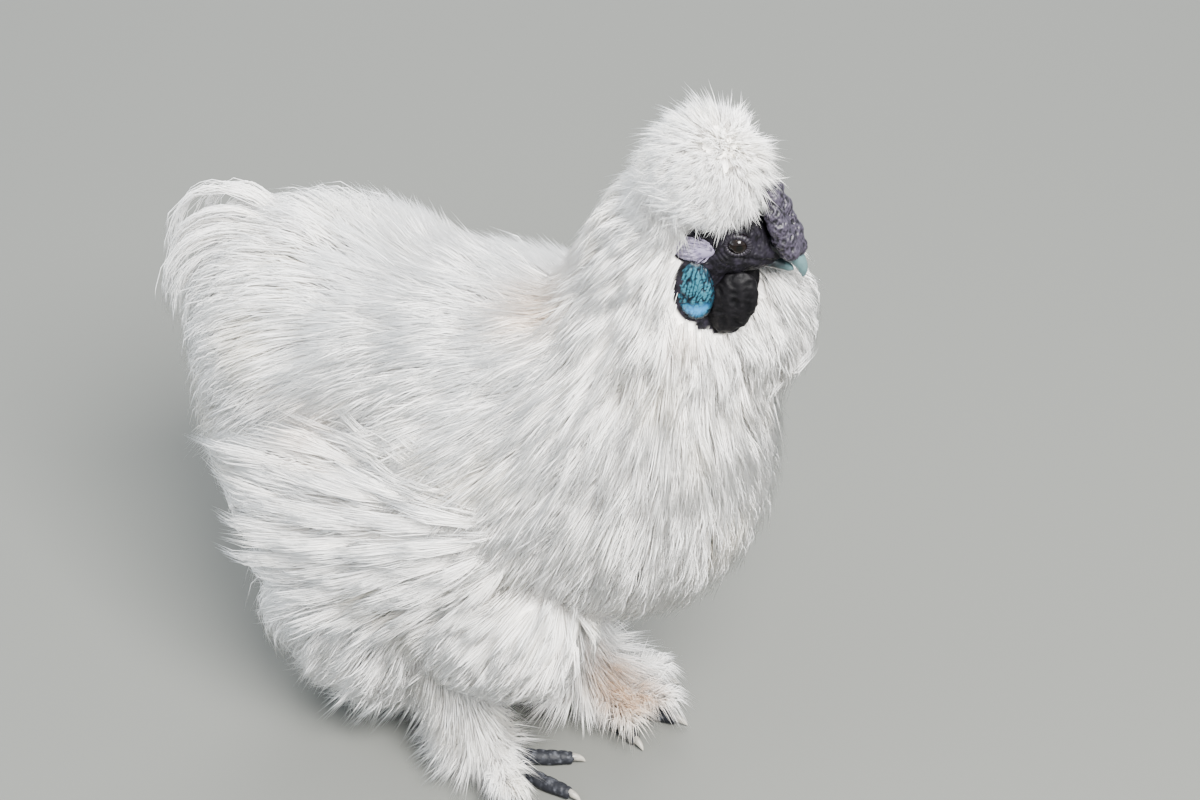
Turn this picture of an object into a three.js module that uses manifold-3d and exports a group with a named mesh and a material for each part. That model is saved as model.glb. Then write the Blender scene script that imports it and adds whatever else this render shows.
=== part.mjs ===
// A white silkie cock, life size, standing with its head turned to its left. Millimetres, +X the way the bird
// faces, +Y its left, +Z up. The origin is on the floor, below the middle of the whole bird.
import * as THREE from 'three';
import { mergeVertices } from 'three/addons/utils/BufferGeometryUtils.js';
import Module from 'manifold-3d';

const wasm = await Module();
wasm.setup();

// The plumage is made of ellipsoids that run together. Each gives its outer outline: the middle, the half
// sizes, and how far its front is tipped up, in degrees.
const bodyForms = [
  { at: [-5, 0, 168], half: [105, 82, 86], tip: -4 },
  { at: [56, 0, 172], half: [68, 72, 76], tip: 0 },
  { at: [-93, 0, 192], half: [77, 72, 69], tip: -10 },
  { at: [-103, 0, 148], half: [62, 64, 66], tip: 0 },
  { at: [-60, 0, 74], half: [72, 85, 69], tip: 0 },
];
const neckForms = [
  { at: [78, -4, 284], half: [38, 34, 44], tip: -12 },
  { at: [70, 0, 240], half: [50, 47, 50], tip: -14 },
  { at: [107, 25, 249], half: [28, 28, 43], tip: 0 },
];
const tailForms = [{ at: [-112, 0, 220], half: [30, 27, 30], tip: -20 }];
const wingForms = [{ at: [-36, 63, 142], half: [84, 24, 50], tip: 14 }];
const thighForms = [{ at: [15, 46, 99], half: [55, 35, 46], tip: 22 }];
const softness = 14; // how softly two forms run together

// How deep each coat is, from its skin to its outer outline. Its core, which the locks grow from, lies at
// half of it. Then how far apart the locks stand, and the length, width and thickness of one. Over the rump,
// or up to the head, the coat is this much deeper, and its locks are by these shares closer and longer.
const coats = {
  torso: { depth: 40, spacing: 34, length: 72, width: 34, thick: 2, deeper: 34, closer: 0.12, longer: 0.2 },
  neck: { depth: 22, spacing: 22, length: 54, width: 23, thick: 1.6, deeper: 0, closer: 0.3, longer: -0.35 },
  crest: { depth: 24, spacing: 10.6, length: 23, width: 15, thick: 1.4, deeper: 0, closer: 0, longer: 0 },
  thigh: { depth: 26, spacing: 24, length: 48, width: 25, thick: 1.8, deeper: 0, closer: 0, longer: 0 },
  tail: { depth: 22, deeper: 0 },
  wing: { depth: 20, thick: 1.6, deeper: 0, longer: 0 },
};
const rump = { from: -20, over: 90 }; // where the body's coat starts to grow deeper, and over what distance
const nape = { near: 24, far: 60 }; // the same for the neck's, as distances from the head

// The head has a frame of its own, between the eyes: x to the bill, y to its left, z to its crown.
const headAt = [104, -2, 302];
const headTurn = 24; // degrees to the bird's left
const headNod = 10; // degrees, bill down
const headForms = [
  { at: [-4, 0, 1], half: [20, 13.5, 15], tip: 0 },
  { at: [0, 0, -8], half: [15, 11.5, 10], tip: 0 },
  { at: [13, 0, -5], half: [11, 7.2, 8], tip: -8 },
  { at: [-17, 0, -12], half: [12, 10, 15], tip: 20 },
];
const crestForms = [{ at: [-14, 0, 27.5], half: [31, 32, 30], tip: 0 }];
const eyeAt = [4, 9.4, 1];
const eyeRadius = 5.2;

// Each leg: the middle of its foot, the degrees that the foot is turned, the hock above it, where the plumes
// of its shank start, from straight ahead, the angle that they cover, how much longer than in shankRows they
// are, and which of its toes carry plumes too.
const legs = {
  R: { side: -1, foot: [3, -41], turn: -6, hock: [-17, -44, 68], fan: [-70, 250], fuller: 1, plumed: [3] },
  L: { side: 1, foot: [23, 22], turn: 8, hock: [1, 40, 68], fan: [-170, 340], fuller: 1.2, plumed: [2, 3] },
};
const shankRadius = 6.5;
const shankRows = [
  { height: 0.8, apart: 62, reach: 20, fall: 32 },
  { height: 0.48, apart: 62, reach: 27, fall: 24 },
  { height: 0.22, apart: 62, reach: 30, fall: 11 },
];

const padHeight = 5.4;
const padReach = 6; // from the middle of the foot to where its toes start
const toeRadius = 4.2;

// Where the face is bare of the neck's plumage.
const earRoom = 8; // the neck's locks start this much further back
const bareFace = { at: [19, 0, -17], half: [34, 40, 26], tip: 0 };

const thighLie = [-0.55, 0, -0.83];
const bodySource = [110, 0, 262]; // the body's plumage lies away from here
const bodyFall = { front: 0.2, back: 0.9, from: -70, over: 70 }; // and this much downwards too
// The crest's plumage lies away from this far ahead of its middle, and so much downwards. Its locks start no
// lower than this over its middle.
const crestParting = { ahead: 4, over: 16, fall: 0.4, lowest: -7 };

const gap = 0.35; // clearance that touching pieces keep
const sunk = 4; // how far a lock's root goes into its core
const stiffness = 0.65; // how much of its heading a lock keeps at each step
const bulge = 2; // 1 where a lock rises evenly to its tip, more where it rises early
// What is tried where a lock would cross another node: shares of its length and width, and a lift.
const tries = [
  [1, 1, 0],
  [1, 0.9, 2],
  [0.8, 0.9, 0],
  [0.8, 0.8, 2],
  [0.6, 0.8, 0],
  [0.6, 0.6, 2],
  [0.45, 0.6, 0],
];

const rad = THREE.MathUtils.degToRad;
const vec = (x, y, z) => new THREE.Vector3(x, y, z);
const up = vec(0, 0, 1);

function seeded(seed) {
  let state = seed * 7919 + 1;
  return () => {
    state = (state * 16807) % 2147483647;
    return state / 2147483647;
  };
}

const headFrame = new THREE.Matrix4()
  .makeTranslation(...headAt)
  .multiply(new THREE.Matrix4().makeRotationZ(rad(headTurn)))
  .multiply(new THREE.Matrix4().makeRotationY(rad(headNod)));
const headInverse = headFrame.clone().invert();
const onHead = (x, y, z) => vec(x, y, z).applyMatrix4(headFrame);

// Fields: a function of a point that gives about its distance outside a form, and less than nothing inside.
function ellipsoid({ at, half, tip }, side = 1, frame = new THREE.Matrix4()) {
  const inverse = frame
    .clone()
    .multiply(new THREE.Matrix4().makeTranslation(at[0], at[1] * side, at[2]))
    .multiply(new THREE.Matrix4().makeRotationY(rad(-tip)))
    .invert();
  const [a, b, c] = half;
  const q = vec(0, 0, 0);
  return (p) => {
    q.copy(p).applyMatrix4(inverse);
    const near = Math.hypot(q.x / a, q.y / b, q.z / c);
    const slope = Math.hypot(q.x / a / a, q.y / b / b, q.z / c / c);
    return slope < 1e-9 ? -Math.min(a, b, c) : (near * (near - 1)) / slope;
  };
}

function joined(fields, soft = softness) {
  return (p) =>
    fields
      .map((f) => f(p))
      .reduce((a, b) => {
        const share = Math.max(soft - Math.abs(a - b), 0) / soft;
        return Math.min(a, b) - (share * share * soft) / 4;
      });
}

const fieldOf = (forms, side, frame, soft) => joined(forms.map((f) => ellipsoid(f, side, frame)), soft);

function outwards(field, p) {
  const step = 0.5;
  return vec(
    field(vec(p.x + step, p.y, p.z)) - field(vec(p.x - step, p.y, p.z)),
    field(vec(p.x, p.y + step, p.z)) - field(vec(p.x, p.y - step, p.z)),
    field(vec(p.x, p.y, p.z + step)) - field(vec(p.x, p.y, p.z - step)),
  ).normalize();
}

// The point where a ray from the middle of a form leaves the given level of its field.
function leave(middle, ray, field, level) {
  let near = 0;
  let far = 400;
  for (let i = 0; i < 28; i++) {
    const half = (near + far) / 2;
    if (field(middle.clone().addScaledVector(ray, half)) < level) near = half;
    else far = half;
  }
  return middle.clone().addScaledVector(ray, near);
}

// Solids.
function toSolid(geometry, weld = 1e-4) {
  geometry.deleteAttribute('normal');
  geometry.deleteAttribute('uv');
  const merged = mergeVertices(geometry, weld);
  const corners = new Uint32Array(merged.index.array);
  const make = () =>
    new wasm.Manifold(
      new wasm.Mesh({
        numProp: 3,
        vertProperties: new Float32Array(merged.attributes.position.array),
        triVerts: corners,
      }),
    );
  const made = make();
  if (made.volume() > 0) return made;
  for (let i = 0; i < corners.length; i += 3) [corners[i], corners[i + 1]] = [corners[i + 1], corners[i]];
  return make();
}

function toGeometry(made) {
  const mesh = made.getMesh();
  const geometry = new THREE.BufferGeometry();
  geometry.setAttribute('position', new THREE.BufferAttribute(mesh.vertProperties, 3));
  geometry.setIndex(new THREE.BufferAttribute(mesh.triVerts, 1));
  return geometry;
}

const largest = (made) => made.decompose().reduce((a, b) => (a.volume() > b.volume() ? a : b));

// A closed form round a middle, where the field has the given level.
function shell(middle, field, level, detail) {
  const geometry = new THREE.IcosahedronGeometry(1, detail);
  geometry.deleteAttribute('normal');
  geometry.deleteAttribute('uv');
  const ball = mergeVertices(geometry, 1e-4);
  const position = ball.attributes.position;
  const ray = vec(0, 0, 0);
  for (let i = 0; i < position.count; i++) {
    ray.fromBufferAttribute(position, i).normalize();
    position.setXYZ(i, ...leave(middle, ray, field, level));
  }
  return toSolid(ball);
}

// A closed tube along a line. Each station is [place along the line, half width, half height], the first
// and last have no width, and side gives the direction of the width. A flat tube has four sides, two broad
// and two narrow, and its lower half is split like its upper half, or the two would cross where it bends.
function tube(line, stations, around, side, grow = 0, flat = false) {
  const last = stations.length - 1;
  const geometry = new THREE.SphereGeometry(1, around, last);
  const position = geometry.attributes.position;
  const corner = flat ? Math.PI / 4 : 0;
  const reach = flat ? Math.SQRT2 : 1;
  const frames = stations.map(([t]) => {
    const back = line(Math.max(t - 0.02, 0));
    const along = line(Math.min(t + 0.02, 1)).sub(back).normalize();
    const wide = side(t);
    wide.addScaledVector(along, -wide.dot(along)).normalize();
    return { at: line(t), along, wide, high: along.clone().cross(wide) };
  });
  for (let i = 0; i < position.count; i++) {
    const k = Math.round((Math.acos(THREE.MathUtils.clamp(position.getY(i), -1, 1)) / Math.PI) * last);
    const { at, along, wide, high } = frames[k];
    const turn = Math.atan2(position.getZ(i), position.getX(i)) + corner;
    const [t, width, height] = stations[k];
    const p = at.clone().addScaledVector(along, t === 0 ? -2 * grow : t === 1 ? 2 * grow : 0);
    if (k > 0 && k < last) {
      p.addScaledVector(wide, (width + grow) * reach * Math.cos(turn));
      p.addScaledVector(high, (height + grow) * reach * Math.sin(turn));
    }
    position.setXYZ(i, p.x, p.y, p.z);
  }
  if (flat) splitAlike(geometry.index.array, around, last);
  return toSolid(geometry);
}

function splitAlike(corners, around, rows) {
  for (let row = 1; row < rows - 1; row++) {
    for (let i = around / 2; i < around; i++) {
      const start = 3 * (around + 2 * around * (row - 1) + 2 * i);
      const [a, b, d, , c] = corners.slice(start, start + 5);
      corners.set([a, b, c, a, c, d], start);
    }
  }
}

const through = (points) => {
  const curve = new THREE.CatmullRomCurve3(points, false, 'centripetal');
  return (t) => curve.getPoint(t);
};

const union = (solids) => wasm.Manifold.union(solids);

// A piece is kept twice: as it is, and grown by the gap to cut the pieces that it touches. Only its outer
// skin is kept where locks close round a pocket.
const piece = (make) => ({ solid: make(0), grown: make(gap) });
const together = (...pieces) => ({
  solid: largest(union(pieces.map((p) => p.solid))),
  grown: union(pieces.map((p) => p.grown)),
});
const clearOf = (one, ...others) => ({
  solid: largest(one.solid.subtract(union(others.map((p) => p.grown)))),
  grown: one.grown,
});

const form = (middle, field, level, detail) => piece((grow) => shell(middle, field, level + grow, detail));

// The widest places of a blade: [place on its length, share of its half width, share of its half thickness].
const shapes = {
  lock: [[0.3, 0.92, 1], [0.72, 0.86, 0.9]],
  vane: [[0.16, 0.64, 1], [0.48, 1, 1], [0.8, 0.74, 0.8]],
};

// A flat, tapered blade through points, each with the direction that its broad side faces. It is rolled a
// little on its length, so that one edge lies under its neighbour.
function blade(points, facing, { width, thick, roll, shape = shapes.lock }) {
  const line = through(points);
  const last = points.length - 1;
  const side = (t) => {
    const k = Math.min(Math.floor(t * last), last - 1);
    const out = facing[k].clone().lerp(facing[k + 1], t * last - k);
    const ahead = line(Math.min(t + 0.05, 1)).sub(line(Math.max(t - 0.05, 0))).normalize();
    return ahead.clone().cross(out).applyAxisAngle(ahead, roll);
  };
  const between = shape.map(([t, wide, high]) => [t, (wide * width) / 2, (high * thick) / 2]);
  const stations = [[0, 0, 0], ...between, [1, 0, 0]];
  return piece((grow) => tube(line, stations, 4, side, grow, true));
}

// The points of a lock that starts on the core, follows the lie and rises to the outer outline.
function laid(root, field, lie, { rootLevel, tipLevel, length, swing, lift }) {
  const steps = 5;
  const points = [];
  const facing = [];
  const p = root.clone();
  const before = vec(0, 0, 0);
  for (let k = 0; k <= steps; k++) {
    const t = k / steps;
    const risen = 1 - (1 - t) ** bulge;
    const lifted = lift * Math.sin((Math.PI / 2) * Math.min(t * 2, 1));
    const level = rootLevel + (tipLevel - rootLevel) * risen + lifted;
    for (let again = 0; again < 2; again++) p.addScaledVector(outwards(field, p), level - field(p));
    const out = outwards(field, p);
    points.push(p.clone());
    facing.push(out);
    const ahead = lie(p).clone();
    ahead.addScaledVector(out, -ahead.dot(out)).normalize().applyAxisAngle(out, swing);
    if (k > 0) ahead.lerp(before, stiffness);
    ahead.addScaledVector(out, -ahead.dot(out)).normalize();
    before.copy(ahead);
    p.addScaledVector(ahead, length / steps);
  }
  return { points, facing };
}

const meets = (one, others) => others.some((other) => one.grown.intersect(other.solid).volume() > 0.01);

// Grows a coat's locks from places on its core, each kept clear of the other nodes: it is lifted over them,
// or made shorter, or left out.
function growLocks(roots, sizes, { field, lie, seed, tip = 0, share, others }) {
  const random = seeded(seed);
  const vary = (size, share) => size * (1 + (random() * 2 - 1) * share);
  const locks = [];
  for (const root of roots) {
    const at = {
      rootLevel: field(root) - sunk,
      tipLevel: tip - random() * sizes.depth * 0.12,
      swing: rad((random() * 2 - 1) * 9),
    };
    const shaped = {
      width: vary(sizes.width, 0.15),
      thick: sizes.thick,
      roll: rad(8) * (root.y < 0 ? -1 : 1),
      shape: sizes.shape,
    };
    const length = vary(sizes.length, 0.15) * (1 + share(root) * sizes.longer);
    for (const [shorter, narrower, lift] of tries) {
      const { points, facing } = laid(root, field, lie, { ...at, length: length * shorter, lift });
      const grown = blade(points, facing, { ...shaped, width: shaped.width * narrower });
      if (!meets(grown, others)) {
        locks.push(grown);
        break;
      }
    }
  }
  return locks;
}

// Places on a form's core, spread evenly, at least the spacing there apart.
function spread(middle, inner, spacing, allowed) {
  const tried = 2500;
  const golden = Math.PI * (3 - Math.sqrt(5));
  const roots = [];
  for (let i = 0; i < tried; i++) {
    const place = (i * 997) % tried;
    const height = 1 - (2 * place + 1) / tried;
    const round = Math.sqrt(1 - height * height);
    const ray = vec(Math.cos(golden * place) * round, Math.sin(golden * place) * round, height);
    const root = leave(middle, ray, inner, 0);
    const apart = spacing(root);
    if (roots.every((other) => other.distanceTo(root) > apart) && allowed(root)) roots.push(root);
  }
  return roots;
}

const sides = ['R', 'L'];
const part = {};

// Eyes, with a thin lid ring round each.
function eyeball(side) {
  const middle = onHead(eyeAt[0], eyeAt[1] * side, eyeAt[2]);
  return form(middle, (p) => p.distanceTo(middle) - eyeRadius, 0, 2);
}

function lid(side) {
  const ringRadius = 4.6;
  const lidThickness = 1.3;
  const facing = new THREE.Matrix4().makeRotationX(rad(90 + 8 * side)).multiply(
    new THREE.Matrix4().makeRotationY(rad(-6)));
  return piece((grow) => {
    const ring = new THREE.TorusGeometry(ringRadius, lidThickness + grow, 4, 12);
    ring.scale(1.08, 0.94, 1);
    ring.applyMatrix4(facing);
    ring.translate(eyeAt[0], (eyeAt[1] + 3.1) * side, eyeAt[2]);
    ring.applyMatrix4(headFrame);
    return toSolid(ring);
  });
}

// The bill: a hooked upper half with two nostrils, and a lower half that closes against it.
const acrossHead = () => vec(0, 1, 0).transformDirection(headFrame);

function upperBill() {
  const ridge = through([onHead(6, 0, -1), onHead(17, 0, -1.5), onHead(28, 0, -4.5), onHead(35, 0, -15)]);
  const stations = [
    [0, 0, 0],
    [0.08, 5.6, 5],
    [0.34, 5.4, 5.2],
    [0.55, 4.7, 4.6],
    [0.74, 3.6, 3.7],
    [0.9, 2, 2.4],
    [1, 0, 0],
  ];
  return piece((grow) => {
    const bill = tube(ridge, stations, 10, acrossHead, grow);
    if (grow > 0) return bill;
    const pits = [-1, 1].map((side) => {
      const pit = new THREE.SphereGeometry(1, 8, 5);
      pit.scale(2, 1.1, 0.8);
      pit.rotateY(rad(14));
      pit.translate(20.5, 5.1 * side, 0.6);
      pit.applyMatrix4(headFrame);
      return toSolid(pit);
    });
    return bill.subtract(union(pits));
  });
}

function lowerBill() {
  const keel = through([onHead(6, 0, -9), onHead(16, 0, -9.4), onHead(24, 0, -10.4), onHead(30.5, 0, -12.6)]);
  const stations = [
    [0, 0, 0],
    [0.1, 5, 3.6],
    [0.4, 4.6, 3.4],
    [0.7, 3.4, 2.6],
    [0.9, 1.9, 1.7],
    [1, 0, 0],
  ];
  return piece((grow) => tube(keel, stations, 10, acrossHead, grow));
}

// The walnut comb: small bulbs in rows that run together.
function comb() {
  const random = seeded(4);
  const bulbs = [];
  for (let row = 0; row < 5; row++) {
    const [x, z] = [29 - row * 3.4, -0.5 + row * 5.4];
    const across = [3, 3, 3, 3, 2][row];
    for (let i = 0; i < across; i++) {
      const y = (i - (across - 1) / 2) * 6.6 + random() - 0.5;
      bulbs.push(bulb([x - Math.abs(y) * 0.45, y, z + random() - 0.5], 3.9 + random() * 1.1));
    }
  }
  return form(onHead(19, 0, 9), joined(bulbs, 2.2), 0, 4);
}

const bulb = (at, radius) => ellipsoid({ at, half: [radius, radius, radius], tip: 0 }, 1, headFrame);

// Wattles, hanging under the bill, with shallow folds down them.
function wattle(side) {
  const outline = { at: [8, 7.4, -29.5], half: [10, 4.6, 15.5], tip: -9 };
  const foldSpacing = 5;
  const smooth = ellipsoid(outline, side, headFrame);
  const folded = (p) => {
    const q = p.clone().applyMatrix4(headInverse);
    return smooth(p) + 0.45 * Math.sin(((q.x * 0.9 + q.z * 0.25) / foldSpacing) * Math.PI * 2);
  };
  return form(onHead(outline.at[0], outline.at[1] * side, outline.at[2]), folded, 0, 2);
}

function earlobe(side) {
  const outline = { at: [-9, 12.4, -23.5], half: [8.2, 3.8, 14.5], tip: 16 };
  const middle = onHead(outline.at[0], outline.at[1] * side, outline.at[2]);
  return form(middle, ellipsoid(outline, side, headFrame), 0, 2);
}

function earTuft(side) {
  const outline = { at: [-12, 13.4, -4], half: [9, 4, 5.5], tip: 4 };
  const middle = onHead(outline.at[0], outline.at[1] * side, outline.at[2]);
  return form(middle, ellipsoid(outline, side, headFrame), 0, 1);
}

const onCrest = (p) => p.clone().applyMatrix4(headInverse).sub(vec(...crestForms[0].at));

function crestLie(p) {
  const q = onCrest(p);
  const { ahead, over, fall } = crestParting;
  return vec((q.x - ahead) / over, q.y / over, -fall).transformDirection(headFrame);
}

const rumpShare = (p) => THREE.MathUtils.smoothstep(rump.from - p.x, 0, rump.over);
const napeShare = (p) => 1 - THREE.MathUtils.smoothstep(p.distanceTo(vec(...headAt)), nape.near, nape.far);

// A coat: its field, its middle and its core, which lies at half of its depth.
function coat(sizes, forms, side, detail, frame, soft) {
  const [x, y, z] = forms[0].at;
  const middle = frame ? onHead(x, y * side, z) : vec(x, y * side, z);
  const field = fieldOf(forms, side, frame, soft);
  const share = sizes === coats.torso ? rumpShare : napeShare;
  const inner = (p) => field(p) + (sizes.depth + share(p) * sizes.deeper) / 2;
  return { sizes, field, share, inner, middle, core: form(middle, inner, 0, detail) };
}

const awayFrom = (source) => (p) => p.clone().sub(source);

function bodyLie(p) {
  const back = THREE.MathUtils.smoothstep(bodyFall.from - p.x, 0, bodyFall.over);
  const fall = THREE.MathUtils.lerp(bodyFall.front, bodyFall.back, back);
  return p.clone().sub(vec(...bodySource)).normalize().addScaledVector(up, -fall);
}

// The places for a coat's locks, where its core shows: well clear of every other core.
function places({ sizes, share, inner, middle }, covered) {
  const clear = 3;
  const spacing = (root) => sizes.spacing * (1 - sizes.closer * share(root));
  return spread(middle, inner, spacing, (root) => covered.every((f) => f(root) > clear));
}

// Legs and feet. A foot has its own heading, and its numbers are ahead, outwards and up.
function footPoint(leg, ahead, outwardsBy, height) {
  const turned = vec(ahead, outwardsBy * leg.side, 0).applyAxisAngle(up, rad(leg.turn));
  return vec(leg.foot[0] + turned.x, leg.foot[1] + turned.y, height);
}

const floor = toSolid(new THREE.BoxGeometry(900, 900, 40).translate(0, 0, -20));

function pad(leg) {
  const middle = footPoint(leg, 0, 0, padHeight);
  const outline = { at: middle.toArray(), half: [9.5, 8.5, 7.5], tip: 0 };
  return piece((grow) => shell(middle, ellipsoid(outline), grow, 1).subtract(floor));
}

// Each toe has its heading from straight ahead, outwards, its length, and how far its end is raised. The
// plumes of a plumed toe lie over it and outwards.
const toes = [
  { heading: 176, length: 27, rise: 0 },
  { heading: -34, length: 34, rise: 0 },
  { heading: -2, length: 40, rise: 0 },
  { heading: 34, length: 34, rise: 0 },
  { heading: -152, length: 26, rise: 15 },
];
const toePlumeCount = 4;

function toe(leg, { heading, length, rise }) {
  const ahead = Math.cos(rad(heading));
  const aside = Math.sin(rad(heading));
  const at = (reach, height) => footPoint(leg, ahead * reach, aside * reach, height);
  const low = rise > 0 ? 11 : toeRadius * 0.86;
  const line = through([
    at(2, low + 2),
    at(padReach + length * 0.3, low + 0.6),
    at(padReach + length * 0.68, low + rise * 0.35),
    at(padReach + length, low - 0.5 + rise),
  ]);
  const stations = [
    [0, 0, 0],
    [0.12, toeRadius, toeRadius],
    [0.55, toeRadius * 0.88, toeRadius * 0.9],
    [0.88, toeRadius * 0.8, toeRadius * 0.8],
    [1, 0, 0],
  ];
  const side = () => vec(-aside * leg.side, ahead, 0);
  const clawLine = through([
    at(padReach + length - 4, low + rise),
    at(padReach + length + 3, low + rise * 1.05),
    at(padReach + length + 7.5, low + rise * 1.1 - 2.6),
  ]);
  const clawStations = [
    [0, 0, 0],
    [0.16, 1.9, 2.1],
    [0.7, 1.2, 1.4],
    [1, 0, 0],
  ];
  return {
    toe: piece((grow) => tube(line, stations, 6, side, grow).subtract(floor)),
    claw: piece((grow) => tube(clawLine, clawStations, 5, side, grow).subtract(floor)),
  };
}

function toePlumes(leg, { heading, length }, others) {
  const random = seeded(60 + Math.round(heading));
  const made = [];
  for (let i = 0; i < toePlumeCount; i++) {
    const from = padReach + length * (0.1 + (0.62 * i) / (toePlumeCount - 1));
    const fan = heading + 24 + random() * 26;
    const at = (reach, bearing, past, height) =>
      footPoint(
        leg,
        Math.cos(rad(heading)) * reach + Math.cos(rad(bearing)) * past,
        Math.sin(rad(heading)) * reach + Math.sin(rad(bearing)) * past,
        height,
      );
    const points = [at(from, fan, -2, 4), at(from, fan, 6, 10), at(from, fan, 16, 11), at(from, fan, 27, 5)];
    const one = blade(points, [up, up, up, up], { width: 14, thick: 1.5, roll: 0.15 });
    if (!meets(one, others)) made.push(one);
  }
  return made;
}

// The limb from the foot up into the thigh, and the plumes down its outer side.
function shankLimb(leg) {
  const top = vec(leg.hock[0], leg.hock[1], leg.hock[2] + 8);
  const foot = footPoint(leg, 0, 0, padHeight);
  const line = through([top, foot.clone().lerp(top, 0.5), foot.clone().lerp(top, 0.12)]);
  const stations = [
    [0, 0, 0],
    [0.12, 9.5, 11],
    [0.5, shankRadius, shankRadius + 1],
    [0.93, shankRadius, shankRadius],
    [1, 0, 0],
  ];
  return piece((grow) => tube(line, stations, 8, () => vec(0, 1, 0), grow));
}

function shankPlumes(leg, others) {
  const random = seeded(leg.side + 30);
  const hock = vec(...leg.hock);
  const foot = footPoint(leg, 0, 0, padHeight);
  const made = [];
  const [first, covered] = leg.fan;
  for (const { height, apart, reach, fall } of shankRows) {
    const count = Math.round(covered / apart);
    for (let i = 0; i < count; i++) {
      const bearing = rad(leg.turn + leg.side * (first + ((i + random() * 0.5) / count) * covered));
      const out = vec(Math.cos(bearing), Math.sin(bearing), 0);
      const start = foot.clone().lerp(hock, height);
      const at = (past, drop) => {
        const p = start.clone().addScaledVector(out, past);
        p.z = Math.max(p.z - drop, 3);
        return p;
      };
      const tip = reach * leg.fuller * (0.9 + random() * 0.25);
      const points = [at(2, -1), at(shankRadius + 3, 3), at(tip * 0.75, fall * 0.55), at(tip, fall)];
      const facing = [0, 0.35, 0.6, 0.6].map((rise) => out.clone().addScaledVector(up, rise).normalize());
      const one = blade(points, facing, { width: 16, thick: 1.5, roll: 0.15 });
      if (!meets(one, others)) made.push(one);
    }
  }
  return made;
}

// A wing's vanes stand in rows round its wrist: each row's distance from the wrist, its number of vanes,
// their first and last bearing in degrees from straight ahead, and their length and width.
const wrist = [50, 62, 164];
const wingRows = [
  { reach: 20, count: 4, from: 172, to: 262, length: 44, width: 19 },
  { reach: 46, count: 5, from: 172, to: 244, length: 50, width: 20 },
  { reach: 74, count: 6, from: 171, to: 232, length: 54, width: 19 },
  { reach: 100, count: 6, from: 172, to: 222, length: 64, width: 18 },
];

function wingRoots(wing, side) {
  const roots = [];
  wingRows.forEach((row, r) => {
    for (let i = 0; i < row.count; i++) {
      const bearing = rad(row.from + ((row.to - row.from) * (i + (r % 2) * 0.3)) / (row.count - 0.7));
      const [x, z] = [wrist[0] + Math.cos(bearing) * row.reach, wrist[2] + Math.sin(bearing) * row.reach];
      const inner = vec(x, wing.middle.y, z);
      if (wing.inner(inner) > -1) continue;
      roots.push({ root: leave(inner, vec(0, side, 0), wing.inner, 0), row });
    }
  });
  return roots;
}

// The tail's sickles leave its core in pairs, rise, arch back and hang.
const sickles = [
  { aside: 0, forward: 4, length: 116, rise: 46 },
  { aside: 8, forward: 10, length: 106, rise: 36 },
  { aside: 15, forward: 4, length: 88, rise: 24 },
  { aside: 5, forward: -8, length: 84, rise: 34 },
  { aside: 12, forward: -10, length: 66, rise: 14 },
  { aside: 20, forward: 2, length: 58, rise: -4 },
];

function sickle(tail, side, { aside, forward, length, rise }, random) {
  const root = leave(tail.middle, vec(forward - 4, aside * side, 14).normalize(), tail.inner, -sunk);
  const steps = 6;
  const fan = rad(side * (aside * 1.3 + random() * 5));
  const back = vec(-Math.cos(fan), Math.sin(fan), 0);
  const across = vec(Math.sin(fan), Math.cos(fan), 0);
  const points = [];
  const facing = [];
  const p = root.clone();
  for (let k = 0; k <= steps; k++) {
    const pitch = rad(rise - Math.min(k / (steps - 1), 1) * (rise + 84));
    const ahead = back.clone().multiplyScalar(Math.cos(pitch)).addScaledVector(up, Math.sin(pitch));
    points.push(p.clone());
    facing.push(ahead.clone().cross(across).multiplyScalar(-1));
    p.addScaledVector(ahead, length / steps);
  }
  return blade(points, facing, { width: 17, thick: 1.5, roll: side * 0.25, shape: shapes.vane });
}

const materials = {
  plumage: { color: 0xf3f1ec, roughness: 0.85 },
  skin: { color: 0x211c22, roughness: 0.6 },
  comb: { color: 0x2b1e2c, roughness: 0.5 },
  wattle: { color: 0x17151a, roughness: 0.55 },
  earlobe: { color: 0x4f9fb0, roughness: 0.5 },
  eye: { color: 0x0c0a09, roughness: 0.08 },
  bill: { color: 0x7f8f9a, roughness: 0.35 },
  scales: { color: 0x4c4f53, roughness: 0.55 },
  claw: { color: 0x8b8a86, roughness: 0.4 },
};

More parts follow.
